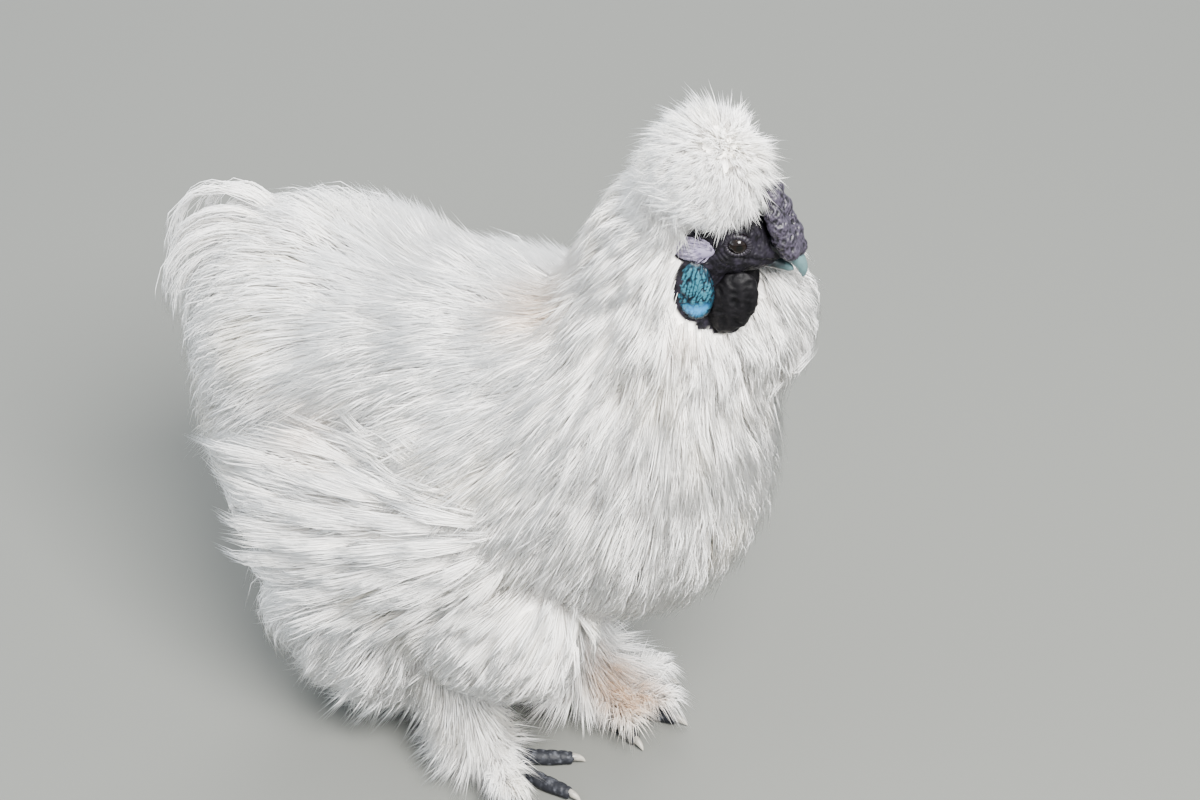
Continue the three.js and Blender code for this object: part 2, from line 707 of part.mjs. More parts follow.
function build() {
  for (const name of sides) {
    const { side } = legs[name];
    part[`eye_${name}`] = { ...eyeball(side), finish: 'eye' };
  }
  const eyes = [part.eye_R, part.eye_L];
  part.beak_upper = { ...clearOf(upperBill(), ...eyes), finish: 'bill' };
  part.beak_lower = { ...clearOf(lowerBill(), part.beak_upper, ...eyes), finish: 'bill' };
  const bills = [part.beak_upper, part.beak_lower];
  const skull = form(onHead(0, 0, -3), fieldOf(headForms, 1, headFrame, 6), 0, 4);
  part.head = { ...clearOf(together(skull, lid(-1), lid(1)), ...eyes, ...bills), finish: 'skin' };
  const face = [part.head, ...eyes, ...bills];
  part.comb = { ...clearOf(comb(), ...face), finish: 'comb' };
  face.push(part.comb);
  for (const name of sides) {
    const { side } = legs[name];
    part[`wattle_${name}`] = { ...clearOf(wattle(side), ...face), finish: 'wattle' };
    face.push(part[`wattle_${name}`]);
    part[`earlobe_${name}`] = { ...clearOf(earlobe(side), ...face), finish: 'earlobe' };
    face.push(part[`earlobe_${name}`]);
    part[`ear_tuft_${name}`] = { ...clearOf(earTuft(side), ...face), finish: 'plumage' };
    face.push(part[`ear_tuft_${name}`]);
  }

  // The feet, from the pad out to the claws.
  const feet = [];
  const toeMade = { R: [], L: [] };
  for (const name of sides) {
    const leg = legs[name];
    const low = [pad(leg)];
    part[`foot_${name}`] = { ...low[0], finish: 'scales' };
    toes.forEach((sizes, i) => {
      const made = toe(leg, sizes);
      toeMade[name].push(clearOf(made.toe, ...low));
      part[`claw_${name}${i + 1}`] = { ...clearOf(made.claw, ...low, made.toe), finish: 'claw' };
      low.push(made.toe, made.claw);
    });
    feet.push(...low);
  }

  // The cores of the coats, each cut by those before it.
  const torso = coat(coats.torso, bodyForms, 1, 4);
  const neck = coat(coats.neck, neckForms, 1, 3);
  const crest = coat(coats.crest, crestForms, 1, 2, headFrame);
  const tail = coat(coats.tail, tailForms, 1, 1);
  const wings = sides.map((name) => coat(coats.wing, wingForms, legs[name].side, 2));
  const thighs = sides.map((name) => coat(coats.thigh, thighForms, legs[name].side, 2));
  const bareField = ellipsoid(bareFace, 1, headFrame);
  const bare = form(onHead(...bareFace.at), bareField, 0, 3);
  neck.core = clearOf(neck.core, torso.core, ...face, bare);
  crest.core = clearOf(crest.core, neck.core, ...face);
  tail.core = clearOf(tail.core, torso.core);
  for (const wing of wings) wing.core = clearOf(wing.core, torso.core);
  thighs.forEach((thigh, i) => (thigh.core = clearOf(thigh.core, torso.core, wings[i].core)));
  const limbs = sides.map((name, i) => clearOf(shankLimb(legs[name]), torso.core, thighs[i].core, ...feet));

  const [wing_R, wing_L] = wings;
  const [thigh_R, thigh_L] = thighs;
  const cores = { torso, neck, crest, tail, wing_R, wing_L, thigh_R, thigh_L };
  const others = (own) => Object.values(cores).filter((c) => c !== own);
  const fieldsOf = (list) => list.map((c) => c.inner);
  const solids = (own) => [...others(own).map((c) => c.full ?? c.core), ...face, ...feet, ...limbs];
  const open = (own) => (own === crest || own === neck ? [bare] : []);

  // The torso's plumage comes first, then what lies over it.
  const grow = (one, lie, seed, tip, extra = []) => {
    const roots = places(one, [...fieldsOf(others(one)), ...extra]);
    const made = growLocks(roots, one.sizes, {
      field: one.lieField ?? one.field,
      lie,
      seed,
      tip,
      share: one.share,
      others: [...solids(one), ...open(one)],
    });
    one.full = together(one.core, ...made);
  };
  grow(torso, bodyLie, 11, 0);
  for (const [i, wing] of wings.entries()) {
    const { side } = legs[sides[i]];
    wing.lieField = joined([wing.field, torso.field], 8);
    const made = wingRoots(wing, side).flatMap(({ root, row }) =>
      growLocks([root], { ...wing.sizes, ...row }, {
        field: wing.lieField,
        lie: awayFrom(vec(wrist[0], wrist[1] * side, wrist[2])),
        seed: Math.round(root.x * 7 + root.z),
        tip: 3,
        share: wing.share,
        others: solids(wing),
      }));
    wing.full = together(wing.core, ...made);
  }
  for (const [i, thigh] of thighs.entries()) grow(thigh, () => vec(...thighLie), 21 + i, 0);
  const random = seeded(31);
  const arching = sickles.flatMap((one) =>
    (one.aside ? [-1, 1] : [1]).map((side) => sickle(tail, side, one, random)));
  tail.full = together(tail.core, ...arching.filter((one) => !meets(one, solids(tail))));
  neck.lieField = joined([neck.field, (p) => torso.field(p) - 2], 10);
  grow(neck, awayFrom(onHead(-6, 0, 24)), 41, 2, [(p) => bareField(p) - earRoom]);
  grow(crest, crestLie, 51, 2, [(p) => onCrest(p).z - crestParting.lowest]);

  for (const [name, { full }] of Object.entries(cores)) part[name] = { ...full, finish: 'plumage' };
  const coatsMade = Object.values(cores).map(({ full }) => full);
  for (const [i, name] of sides.entries()) {
    const leg = legs[name];
    const around = [...coatsMade, ...feet, ...limbs.filter((l) => l !== limbs[i])];
    const shank = together(limbs[i], ...shankPlumes(leg, around));
    part[`shank_${name}`] = { ...shank, finish: 'plumage' };
    toes.forEach((sizes, t) => {
      const own = toeMade[name][t];
      const near = feet.filter((f) => f.grown !== own.grown);
      const plumed = leg.plumed.includes(t);
      const plumes = plumed ? toePlumes(leg, sizes, [...coatsMade, shank, ...near]) : [];
      const finish = plumed ? 'plumage' : 'scales';
      part[`toe_${name}${t + 1}`] = { ...together(own, ...plumes), finish };
    });
  }
}

build();
const box = new THREE.Box3();
for (const { solid } of Object.values(part)) {
  const { min, max } = solid.boundingBox();
  box.expandByPoint(vec(...min)).expandByPoint(vec(...max));
}
const middle = box.getCenter(vec(0, 0, 0));

// Corners a micron apart are welded, and a crumb that this sets free is left out.
const bird = new THREE.Group();
for (const [name, { solid, finish }] of Object.entries(part)) {
  const welded = toSolid(toGeometry(solid.translate([-middle.x, -middle.y, 0])), 1e-3);
  const mesh = new THREE.Mesh(toGeometry(largest(welded)), new THREE.MeshStandardMaterial(materials[finish]));
  mesh.name = name;
  bird.add(mesh);
}

export default bird;
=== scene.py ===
# A white silkie cock, life size and still: one skin, with the plumage, comb, lobes, bill and feet over it.
# Sizes are millimetres in the bird's own frame: x ahead, y to its left, z up. The pieces are in metres.
import math

import bpy
import numpy as np
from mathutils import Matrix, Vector


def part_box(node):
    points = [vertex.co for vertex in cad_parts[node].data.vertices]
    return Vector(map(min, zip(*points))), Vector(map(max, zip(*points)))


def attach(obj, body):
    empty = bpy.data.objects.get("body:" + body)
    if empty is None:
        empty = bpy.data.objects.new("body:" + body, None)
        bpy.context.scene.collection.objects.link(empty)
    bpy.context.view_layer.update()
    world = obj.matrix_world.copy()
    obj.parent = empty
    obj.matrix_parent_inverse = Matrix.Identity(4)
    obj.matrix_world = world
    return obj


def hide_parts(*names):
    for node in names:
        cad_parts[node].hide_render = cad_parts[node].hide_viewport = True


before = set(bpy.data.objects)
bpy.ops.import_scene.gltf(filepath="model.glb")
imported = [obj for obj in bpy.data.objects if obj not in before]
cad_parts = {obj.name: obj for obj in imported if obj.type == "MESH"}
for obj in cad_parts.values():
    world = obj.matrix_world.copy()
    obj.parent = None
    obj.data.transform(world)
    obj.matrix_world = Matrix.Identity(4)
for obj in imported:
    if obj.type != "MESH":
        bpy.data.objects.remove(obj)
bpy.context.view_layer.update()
print("frame:", len(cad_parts), "nodes")
sides = {"R": -1, "L": 1}
fewer = 1.0

# The outlines of the plumage: ellipsoids that run together, each tipped up in front by some degrees
outlines = {
    "torso": [
        {"at": (-5, 0, 168), "half": (105, 82, 86), "tip": -4},
        {"at": (56, 0, 172), "half": (68, 72, 76), "tip": 0},
        {"at": (-93, 0, 192), "half": (77, 72, 69), "tip": -10},
        {"at": (-103, 0, 148), "half": (62, 64, 66), "tip": 0},
        {"at": (-60, 0, 74), "half": (72, 85, 69), "tip": 0},
    ],
    "neck": [
        {"at": (78, -4, 284), "half": (38, 34, 44), "tip": -12},
        {"at": (70, 0, 240), "half": (50, 47, 50), "tip": -14},
        {"at": (107, 25, 249), "half": (28, 28, 43), "tip": 0},
    ],
    "tail": [{"at": (-112, 0, 220), "half": (30, 27, 30), "tip": -20}],
    "wing": [{"at": (-36, 63, 142), "half": (84, 24, 50), "tip": 14}],
    "thigh": [{"at": (15, 46, 99), "half": (55, 35, 46), "tip": 22}],
    "crest": [{"at": (-14, 0, 27.5), "half": (31, 32, 30), "tip": 0}],
    "head": [
        {"at": (-4, 0, 1), "half": (20, 13.5, 15), "tip": 0},
        {"at": (0, 0, -8), "half": (15, 11.5, 10), "tip": 0},
        {"at": (13, 0, -5), "half": (11, 7.2, 8), "tip": -8},
        {"at": (-17, 0, -12), "half": (12, 10, 15), "tip": 20},
    ],
}
coatDepth = {"torso": 40, "neck": 22, "tail": 22, "wing": 20, "thigh": 26, "crest": 24}
rump = {"from": -20, "over": 90, "deeper": 34}
headPose = {"at": (104, -2, 302), "turn": 24, "nod": 10}
eye = {"at": (4, 9.4, 1), "radius": 5.2}
lobes = {
    "wattle": {"at": (8, 7.4, -29.5), "half": (10, 4.6, 15.5), "tip": -9, "folds": 5.0},
    "earlobe": {"at": (-9, 12.4, -23.5), "half": (8.2, 3.8, 14.5), "tip": 16},
    "earTuft": {"at": (-12, 13.4, -4), "half": (9, 4, 5.5), "tip": 4},
}
legs = {
    "R": {"foot": (3, -41), "turn": -6, "hock": (-17, -44, 68)},
    "L": {"foot": (23, 22), "turn": 8, "hock": (1, 40, 68)},
}


def wayOf(degrees):
    return math.cos(math.radians(degrees)), math.sin(math.radians(degrees))


def turnY(degrees):
    c, s = wayOf(degrees)
    return np.array([[c, 0, s], [0, 1, 0], [-s, 0, c]])


def turnZ(degrees):
    c, s = wayOf(degrees)
    return np.array([[c, -s, 0], [s, c, 0], [0, 0, 1]])


headAt = np.array(headPose["at"], float)
headTurn = turnZ(headPose["turn"]) @ turnY(headPose["nod"])


def onHead(points):
    return np.asarray(points, float) @ headTurn.T + headAt


def fromHead(points):
    return (points - headAt) @ headTurn


eyeLow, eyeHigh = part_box("eye_R")
shift = np.array(eyeLow + eyeHigh) * 500 - onHead((eye["at"][0], -eye["at"][1], eye["at"][2]))


def toMetres(points):
    return (points + shift) * 0.001


def unit(v):
    return v / np.maximum(np.linalg.norm(v, axis=-1, keepdims=True), 1e-9)


def smooth(x, low, high):
    t = np.clip((x - low) / (high - low), 0, 1)
    return t * t * (3 - 2 * t)


# Outside an ellipsoid by about near * (near - 1) / slope: near is |q / half| and slope |q / half squared|
def ellipsoid(form, side=1, skull=False):
    at = np.array(form["at"], float) * (1, side, 1)
    half = np.array(form["half"], float)
    turn = turnY(-form["tip"])

    def field(p):
        q = ((fromHead(p) if skull else p) - at) @ turn
        near = np.linalg.norm(q / half, axis=-1)
        slope = np.linalg.norm(q / half**2, axis=-1)
        return near * (near - 1) / np.maximum(slope, 1e-9)

    return field


# Two fields run together where they are nearer than soft: the lower one, less share * share * soft / 4
def joined(fields, soft=14):
    def field(p):
        whole = fields[0](p)
        for one in fields[1:]:
            other = one(p)
            share = np.maximum(soft - np.abs(whole - other), 0) / soft
            whole = np.minimum(whole, other) - share * share * soft / 4
        return whole

    return field


def outlineField(name, side=1, soft=14):
    skull = name in ("crest", "head")
    return joined([ellipsoid(form, side, skull) for form in outlines[name]], soft)


# The field's value at each point and the unit direction in which it grows
def slopeOf(field, p):
    step = 0.4
    value = field(p)
    grown = [field(p + np.eye(3)[axis] * step) - value for axis in range(3)]
    return value, unit(np.stack(grown, axis=-1))


def rumpShare(p):
    return smooth(rump["from"] - p[..., 0], 0, rump["over"])


def coreField(name, side=1):
    outline = outlineField(name, side)
    depth = coatDepth[name]
    if name == "torso":
        return lambda p: outline(p) + (depth + rumpShare(p) * rump["deeper"]) / 2
    return lambda p: outline(p) + depth / 2


cores = {
    "torso": coreField("torso"),
    "neck": coreField("neck"),
    "crest": coreField("crest"),
    "tail": coreField("tail"),
    "wingR": coreField("wing", -1),
    "wingL": coreField("wing", 1),
    "thighR": coreField("thigh", -1),
    "thighL": coreField("thigh", 1),
    "head": outlineField("head", 1, 6),
}
skinField = joined(list(cores.values()), 5)
lobeFields = [ellipsoid(form, side, True) for form in lobes.values() for side in (-1, 1)]
combSizes = {"rows": 5, "across": (3, 3, 3, 3, 2), "apart": 6.6, "bulb": 4.0, "middle": (19, 0, 9)}


# The comb's bulbs, in rows up the front of the skull
def combBulbs():
    rng = np.random.default_rng(4)
    bulbs = []
    for row in range(combSizes["rows"]):
        across = combSizes["across"][row]
        for i in range(across):
            y = (i - (across - 1) / 2) * combSizes["apart"] + rng.uniform(-0.5, 0.5)
            radius = combSizes["bulb"] + rng.uniform(0, 1.2)
            at = (29 - row * 3.4 - abs(y) * 0.45, y, -0.5 + row * 5.4 + rng.uniform(-0.5, 0.5))
            bulbs.append(ellipsoid({"at": at, "half": (radius,) * 3, "tip": 0}, 1, True))
    return bulbs


combFields = combBulbs()
billFields = [ellipsoid({"at": (20, 0, -5), "half": (16, 5.5, 8), "tip": 0}, 1, True)] + [
    ellipsoid({"at": eye["at"], "half": (6, 6, 6), "tip": 0}, side, True) for side in (-1, 1)]


def nearest(fields):
    return lambda p: np.stack([field(p) for field in fields]).min(0)


fromLobes = nearest(lobeFields)
fromWattles = nearest(lobeFields[:2])
fromEarlobes = nearest(lobeFields[2:4])
fromHardParts = nearest(combFields + billFields)


# How far a point is outside the gap between a wattle and the lobe behind it, where dark skin shows
def outsideGap(p):
    reach = 5.0 + 5.0 * smooth(fromHead(p)[..., 2], -38, -35)
    return np.maximum(fromWattles(p), fromEarlobes(p)) - reach


# How bare the skin is, from 0 under plumage to 1 on the face and in a band of some 2 mm round the lobes
def bareness(p):
    q = fromHead(p)
    face = smooth(cores["neck"](p) - cores["head"](p), -0.5, 2.0) * smooth(q[..., 0], -19, -15)
    band = smooth(-fromLobes(p), -2.4, -1.2)
    between = smooth(-outsideGap(p), -1.4, 0)
    return np.maximum(np.maximum(face, band), between) * smooth(cores["crest"](p), 0.5, 3.0)


# A sum of sines in a few directions: smooth bumps about as far apart as the given size
def lumps(p, size, seed, count=7):
    rng = np.random.default_rng(seed)
    ways = unit(rng.normal(size=(count, 3))) * (2 * math.pi / size) * rng.uniform(0.7, 1.3, (count, 1))
    starts = rng.uniform(0, 2 * math.pi, count)
    return np.sin(p @ ways.T + starts).mean(-1) * math.sqrt(2 * count) / 2


# Meshes

def newObject(name, points, faceGroups, uv=None, values=None):
    mesh = bpy.data.meshes.new(name)
    mesh.vertices.add(len(points))
    mesh.vertices.foreach_set("co", toMetres(points).astype(np.float32).ravel())
    corners = np.concatenate([faces.ravel() for faces in faceGroups]).astype(np.int32)
    sizes = np.concatenate([np.full(len(faces), faces.shape[1]) for faces in faceGroups])
    mesh.loops.add(len(corners))
    mesh.loops.foreach_set("vertex_index", corners)
    mesh.polygons.add(len(sizes))
    starts = np.concatenate([[0], np.cumsum(sizes)[:-1]]).astype(np.int32)
    mesh.polygons.foreach_set("loop_start", starts)
    mesh.polygons.foreach_set("use_smooth", np.ones(len(sizes), bool))
    if uv is not None:
        layer = mesh.uv_layers.new(name="OFBake")
        layer.data.foreach_set("uv", uv[corners].astype(np.float32).ravel())
    for key, data in (values or {}).items():
        kind = "FLOAT" if data.ndim == 1 else "FLOAT_COLOR"
        field = "value" if data.ndim == 1 else "color"
        mesh.attributes.new(key, kind, "POINT").data.foreach_set(field, data.astype(np.float32).ravel())
    mesh.update(calc_edges=True)
    mesh.validate()
    made = bpy.data.objects.new(name, mesh)
    bpy.context.scene.collection.objects.link(made)
    return made


# Points and faces of a closed surface from rings of points: each pole is the middle of the ring next to it
def closeRings(rings, poles=None):
    rows, around = rings.shape[:2]
    ends = np.stack([rings[0].mean(0), rings[-1].mean(0)]) if poles is None else np.asarray(poles)
    points = np.concatenate([rings.reshape(-1, 3), ends])
    row, column = np.meshgrid(np.arange(rows - 1), np.arange(around), indexing="ij")
    after = (column + 1) % around
    quads = np.stack([row * around + column, row * around + after, (row + 1) * around + after,
                      (row + 1) * around + column], axis=-1).reshape(-1, 4)
    c = np.arange(around)
    n = (c + 1) % around
    first = np.stack([n, c, np.full(around, rows * around)], axis=-1)
    base = (rows - 1) * around
    last = np.stack([base + c, base + n, np.full(around, rows * around + 1)], axis=-1)
    return points, quads, np.concatenate([first, last])


# Several meshes as one: their points, and each kind of face counted on from mesh to mesh
def gathered(meshes):
    points, *kinds = zip(*meshes)
    starts = np.cumsum([0] + [len(p) for p in points])
    faces = [np.concatenate([group + start for group, start in zip(kind, starts)]) for kind in kinds]
    return np.concatenate(points), faces


# Where rays that come in from far outside meet the field's zero level: t is lowered by most of the field
def traceIn(origins, ways, field, far, steps=40):
    t = np.broadcast_to(far, origins.shape[:-1]).astype(float).copy()
    for _ in range(steps):
        t = np.maximum(t - 0.78 * field(origins + ways * t[..., None]), 0.5)
    return origins + ways * t[..., None]


# A closed form round a middle, as rings of longitude and latitude about an axis
def blob(middle, field, rows, around, far, axis=(0, 0, 1), start=(1, 0, 0)):
    middle = np.asarray(middle, float)
    up = unit(np.asarray(axis, float))
    out = unit(np.asarray(start, float) - up * np.dot(start, up))
    aside = np.cross(up, out)
    lat = (np.arange(rows) + 0.5) / rows * math.pi - math.pi / 2
    lon = np.arange(around) / around * 2 * math.pi
    level = np.cos(lat)[:, None, None]
    ways = level * (np.cos(lon)[None, :, None] * out + np.sin(lon)[None, :, None] * aside)
    ways = ways + np.sin(lat)[:, None, None] * up
    rings = traceIn(np.broadcast_to(middle, ways.shape), ways, field, far)
    poles = traceIn(np.stack([middle, middle]), np.stack([-up, up]), field, far)
    return rings, poles


# A smooth path through points, each with more numbers after its first three, by Catmull-Rom steps
def pathThrough(stations, count):
    knots = np.asarray(stations, float)
    padded = np.concatenate([[2 * knots[0] - knots[1]], knots, [2 * knots[-1] - knots[-2]]])
    t = np.linspace(0, len(knots) - 1, count)
    k = np.minimum(t.astype(int), len(knots) - 2)
    f = (t - k)[:, None]
    a, b, c, d = padded[k], padded[k + 1], padded[k + 2], padded[k + 3]
    return 0.5 * (2 * b + (c - a) * f + (2 * a - 5 * b + 4 * c - d) * f**2 + (3 * b - a - 3 * c + d) * f**3)


# Rings round a path: middle + wide * cos * half width + high * sin * half height
def tubeRings(path, wide, around, shape=None):
    ahead = unit(np.gradient(path[:, :3], axis=0))
    wide = unit(wide - ahead * (wide * ahead).sum(-1, keepdims=True))
    high = np.cross(ahead, wide)
    angle = np.arange(around) / around * 2 * math.pi
    cos, sin = np.cos(angle)[None, :, None], np.sin(angle)[None, :, None]
    grown = 1 if shape is None else shape(np.linspace(0, 1, len(path))[:, None], angle[None, :])[..., None]
    rings = path[:, None, :3] + grown * (
        cos * path[:, 3][:, None, None] * wide[:, None] + sin * path[:, 4][:, None, None] * high[:, None])
    return rings


def fromHex(value):
    parts = [int(value[i:i + 2], 16) / 255 for i in (1, 3, 5)]
    return tuple(c / 12.92 if c <= 0.04045 else ((c + 0.055) / 1.055) ** 2.4 for c in parts) + (1.0,)


def addNode(tree, kind, settings=None, inputs=None):
    node = tree.nodes.new(kind)
    for key, value in (settings or {}).items():
        setattr(node, key, value)
    for key, value in (inputs or {}).items():
        if isinstance(value, bpy.types.NodeSocket):
            tree.links.new(value, node.inputs[key])
        else:
            node.inputs[key].default_value = value
    return node


def newMaterial(name, values):
    made = bpy.data.materials.new(name)
    made.use_nodes = True
    tree = made.node_tree
    shader = tree.nodes["Principled BSDF"]
    for key, value in values.items():
        shader.inputs[key].default_value = value
    return made, tree, shader


def mixed(tree, share, one, other):
    return addNode(tree, "ShaderNodeMix", {"data_type": "RGBA"}, {0: share, 6: one, 7: other}).outputs[2]


def objectPlace(tree):
    return addNode(tree, "ShaderNodeTexCoord").outputs["Object"]


def pointValue(tree, name):
    return addNode(tree, "ShaderNodeAttribute", {"attribute_name": name}).outputs["Fac"]


def noise(tree, place, scale, detail):
    made = addNode(tree, "ShaderNodeTexNoise", {}, {"Vector": place, "Scale": scale, "Detail": detail})
    return made.outputs["Fac"]


def maths(tree, operation, one, other, clamp=False):
    made = addNode(tree, "ShaderNodeMath", {"operation": operation, "use_clamp": clamp}, {0: one, 1: other})
    return made.outputs[0]


# Bumps of a real depth, in metres
def bumped(tree, shader, height, strength, depth, invert=False):
    bump = addNode(tree, "ShaderNodeBump", {"invert": invert},
                   {"Strength": strength, "Distance": depth, "Height": height})
    tree.links.new(bump.outputs[0], shader.inputs["Normal"])


def ramp(tree, value, low, high, start=0.0, end=1.0):
    return addNode(tree, "ShaderNodeMapRange", {"interpolation_type": "SMOOTHSTEP"},
                   {0: value, 1: low, 2: high, 3: start, 4: end}).outputs[0]


plumage = {
    "white": "#FAF9F7", "root": "#F4F0EA", "cream": "#EADFC4", "soil": "#AC8767", "peach": "#EFD2B4",
    "patch": 55.0,
    # spots of peach and straw: place, reach and strength
    "spots": [((18, -18, 249), 17, 0.8), ((102, -31, 259), 9, 0.45), ((-76, -70, 185), 14, 0.4),
              ((60, 30, 92), 16, 0.4)],
    "soiled": {"at": (50.0, 16, 29), "half": (28.0, 26, 26)},
}


def peachy(p):
    total = 0
    for at, reach, power in plumage["spots"]:
        total = total + power * np.exp(-(np.linalg.norm(p - np.array(at), axis=-1) / reach) ** 2)
    return np.clip(total, 0, 1)


# Dirt rubbed into the left foot's plumes: most on the outer front of the ball, and low down on both feet
def soiled(p):
    patch = plumage["soiled"]
    ball = np.linalg.norm((p - np.array(patch["at"])) / np.array(patch["half"]), axis=-1)
    return np.clip(smooth(-ball, -1.1, -0.5) + 0.35 * smooth(-p[..., 2], -9, -1), 0, 1)


# White plumage: brighter to the tips, with the faint cream of old feathers in patches some 55 mm across,
# and the dirt of the ground at the feet. Skin under the coat and the coat itself read the same patches.
def plumageColour(tree, along, peach, soil=None):
    place = objectPlace(tree)
    wide = noise(tree, place, 1000 / plumage["patch"], 2.0)
    base = mixed(tree, along, fromHex(plumage["root"]), fromHex(plumage["white"]))
    base = mixed(tree, ramp(tree, wide, 0.52, 0.76, 0.0, 0.42), base, fromHex(plumage["cream"]))
    base = mixed(tree, peach, base, fromHex(plumage["peach"]))
    if soil is None:
        return base
    broken = maths(tree, "MULTIPLY", soil, ramp(tree, noise(tree, place, 260.0, 3.0), 0.15, 0.5))
    return mixed(tree, broken, base, fromHex(plumage["soil"]))


# Silky barbs with no hooks to hold them flat: soft white with a low satin sheen along each thread
def plumageMaterial(name, dirty):
    made, tree, shader = newMaterial(name, {
        "Roughness": 0.6, "IOR": 1.54, "Specular IOR Level": 0.3,  # keratin
        "Subsurface Weight": 0.5, "Subsurface Radius": (1.0, 0.97, 0.92),  # light goes on through the barbs
        "Subsurface Scale": 0.003,
    })
    marks = addNode(tree, "ShaderNodeAttribute", {"attribute_name": "strand"})
    split = addNode(tree, "ShaderNodeSeparateColor", {}, {0: marks.outputs["Color"]})
    soil = split.outputs[2] if dirty else None
    colour = plumageColour(tree, split.outputs[1], marks.outputs["Alpha"], soil)
    tone = addNode(tree, "ShaderNodeHueSaturation", {}, {
        "Color": colour, "Value": ramp(tree, split.outputs[0], 0.0, 1.0, 0.93, 1.03)}).outputs[0]
    tree.links.new(tone, shader.inputs["Base Color"])
    return made


bareSkin = {"dark": "#070609", "light": "#1B1820", "papilla": 1.3, "scute": "#1B1C20", "edge": "#54565C"}


# A silkie's blue-black skin, bare on the face: pebbled with papillae about 1.3 mm apart, satin where it is
# stretched. Under the plumage the same skin is seen as the white of the down that covers it.
def skinMaterial():
    made, tree, shader = newMaterial("blue-black silkie skin", {"Specular IOR Level": 0.15})
    place = objectPlace(tree)
    bare = pointValue(tree, "bare")
    pebbles = addNode(tree, "ShaderNodeTexVoronoi", {"feature": "SMOOTH_F1"},
                      {"Vector": place, "Scale": 1000 / bareSkin["papilla"]})
    mottle = noise(tree, place, 320.0, 4.0)
    dark = mixed(tree, ramp(tree, mottle, 0.35, 0.75), fromHex(bareSkin["dark"]), fromHex(bareSkin["light"]))
    slate = mixed(tree, ramp(tree, mottle, 0.5, 0.85), fromHex(bareSkin["scute"]), fromHex(bareSkin["edge"]))
    dark = mixed(tree, pointValue(tree, "scute"), dark, slate)
    down = plumageColour(tree, 0.2, pointValue(tree, "peach"), pointValue(tree, "soil"))
    tree.links.new(mixed(tree, bare, down, dark), shader.inputs["Base Color"])
    tree.links.new(ramp(tree, bare, 0.0, 1.0, 0.9, 0.55), shader.inputs["Roughness"])
    bumped(tree, shader, maths(tree, "MULTIPLY", pebbles.outputs["Distance"], bare), 0.5, 0.0005, True)
    return made


# A plain hide or horn: two colours mixed by a vertex value and by mottling, with a bump at a real size in mm
def mottledMaterial(name, low, high, look, roughness, size, bumpDepth, mottle=0.3, coat=0.0, specular=0.3):
    made, tree, shader = newMaterial(name, {
        "Roughness": roughness, "Specular IOR Level": specular, "Coat Weight": coat, "Coat Roughness": 0.25})
    grain = noise(tree, objectPlace(tree), 1000 / size, 5.0)
    spread = ramp(tree, grain, 0.3, 0.7, -mottle, mottle)
    whole = maths(tree, "ADD", pointValue(tree, look), spread, True)
    tree.links.new(mixed(tree, whole, fromHex(low), fromHex(high)), shader.inputs["Base Color"])
    bumped(tree, shader, grain, 0.6, bumpDepth * 0.001)
    return made


def finishPiece(made, material, nodes=()):
    made.data.materials.append(material)
    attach(made, "root")
    if nodes:
        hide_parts(*nodes)


# Skin

skinSizes = {
    # along the inside of the bird: share of the way, x, y, z, tilt of the rays, how far out they start
    "spine": [
        (0.00, -124, 0, 207, -90, 60), (0.07, -104, 0, 192, -40, 100), (0.14, -82, 0, 176, 0, 140),
        (0.24, -52, 0, 160, 0, 150), (0.38, 0, 0, 160, 0, 140), (0.50, 44, 0, 180, 0, 112),
        (0.58, 62, -1, 212, 0, 84), (0.66, 74, -3, 244, 0, 62), (0.73, 86, -3, 270, -6, 50),
        (0.79, 95, -3, 285, -16, 42), (0.85, 101, -2, 297, 0, 40), (0.91, 101, -3, 312, 6, 42),
        (0.96, 100.7, -3.5, 326, 45, 44), (1.00, 100.7, -3.5, 334, 90, 44),
    ],
    "bodyRows": 150, "headRows": 160, "headFrom": 0.74, "around": 256,
}


def spineFrames():
    knots = np.array(skinSizes["spine"], float)
    split = skinSizes["headFrom"]
    share = np.concatenate([np.linspace(0, split, skinSizes["bodyRows"]),
                            np.linspace(split, 1, skinSizes["headRows"] + 1)[1:]])[1:-1]
    fine = pathThrough(knots, 1200)
    columns = [np.interp(share, np.maximum.accumulate(fine[:, 0]), fine[:, i]) for i in range(1, 6)]
    middle, tilt, far = np.stack(columns[:3], -1), np.radians(np.clip(columns[3], -88, 88)), columns[4]
    ahead = np.gradient(middle, axis=0)
    kernel = np.hanning(25) / np.hanning(25).sum()
    ahead = np.stack([np.convolve(np.pad(ahead[:, i], 12, "edge"), kernel, "valid") for i in range(3)], -1)
    return middle, unit(ahead), tilt, far


# Fine relief of the bare skin, in the head's frame: the hollow of the eye, rings of wrinkles round it, the
# fold that runs back from the gape, and papillae
def faceRelief(p):
    q = fromHead(p)
    fromEye = np.linalg.norm((q - np.array(eye["at"]) * np.stack(
        [np.ones(len(q)), np.sign(q[:, 1]), np.ones(len(q))], -1)), axis=-1)
    relief = -1.1 * np.exp(-(fromEye / 8.5) ** 2)
    relief += 0.22 * np.cos((fromEye - 6.4) * 2 * math.pi / 1.7) * np.exp(-((fromEye - 8.5) / 2.6) ** 2)
    gape = q[:, 2] + 6.2 + 0.18 * (q[:, 0] - 12)
    relief -= 0.8 * np.exp(-(gape / 0.9) ** 2) * smooth(q[:, 0], 2, 9)
    relief += 0.3 * np.exp(-((gape - 2.0) / 1.1) ** 2) * smooth(q[:, 0], 0, 8)
    relief += 0.26 * np.abs(lumps(p, 2.6, 3)) + 0.16 * lumps(p, 1.5, 5) + 0.3 * lumps(p, 6.0, 8)
    return relief


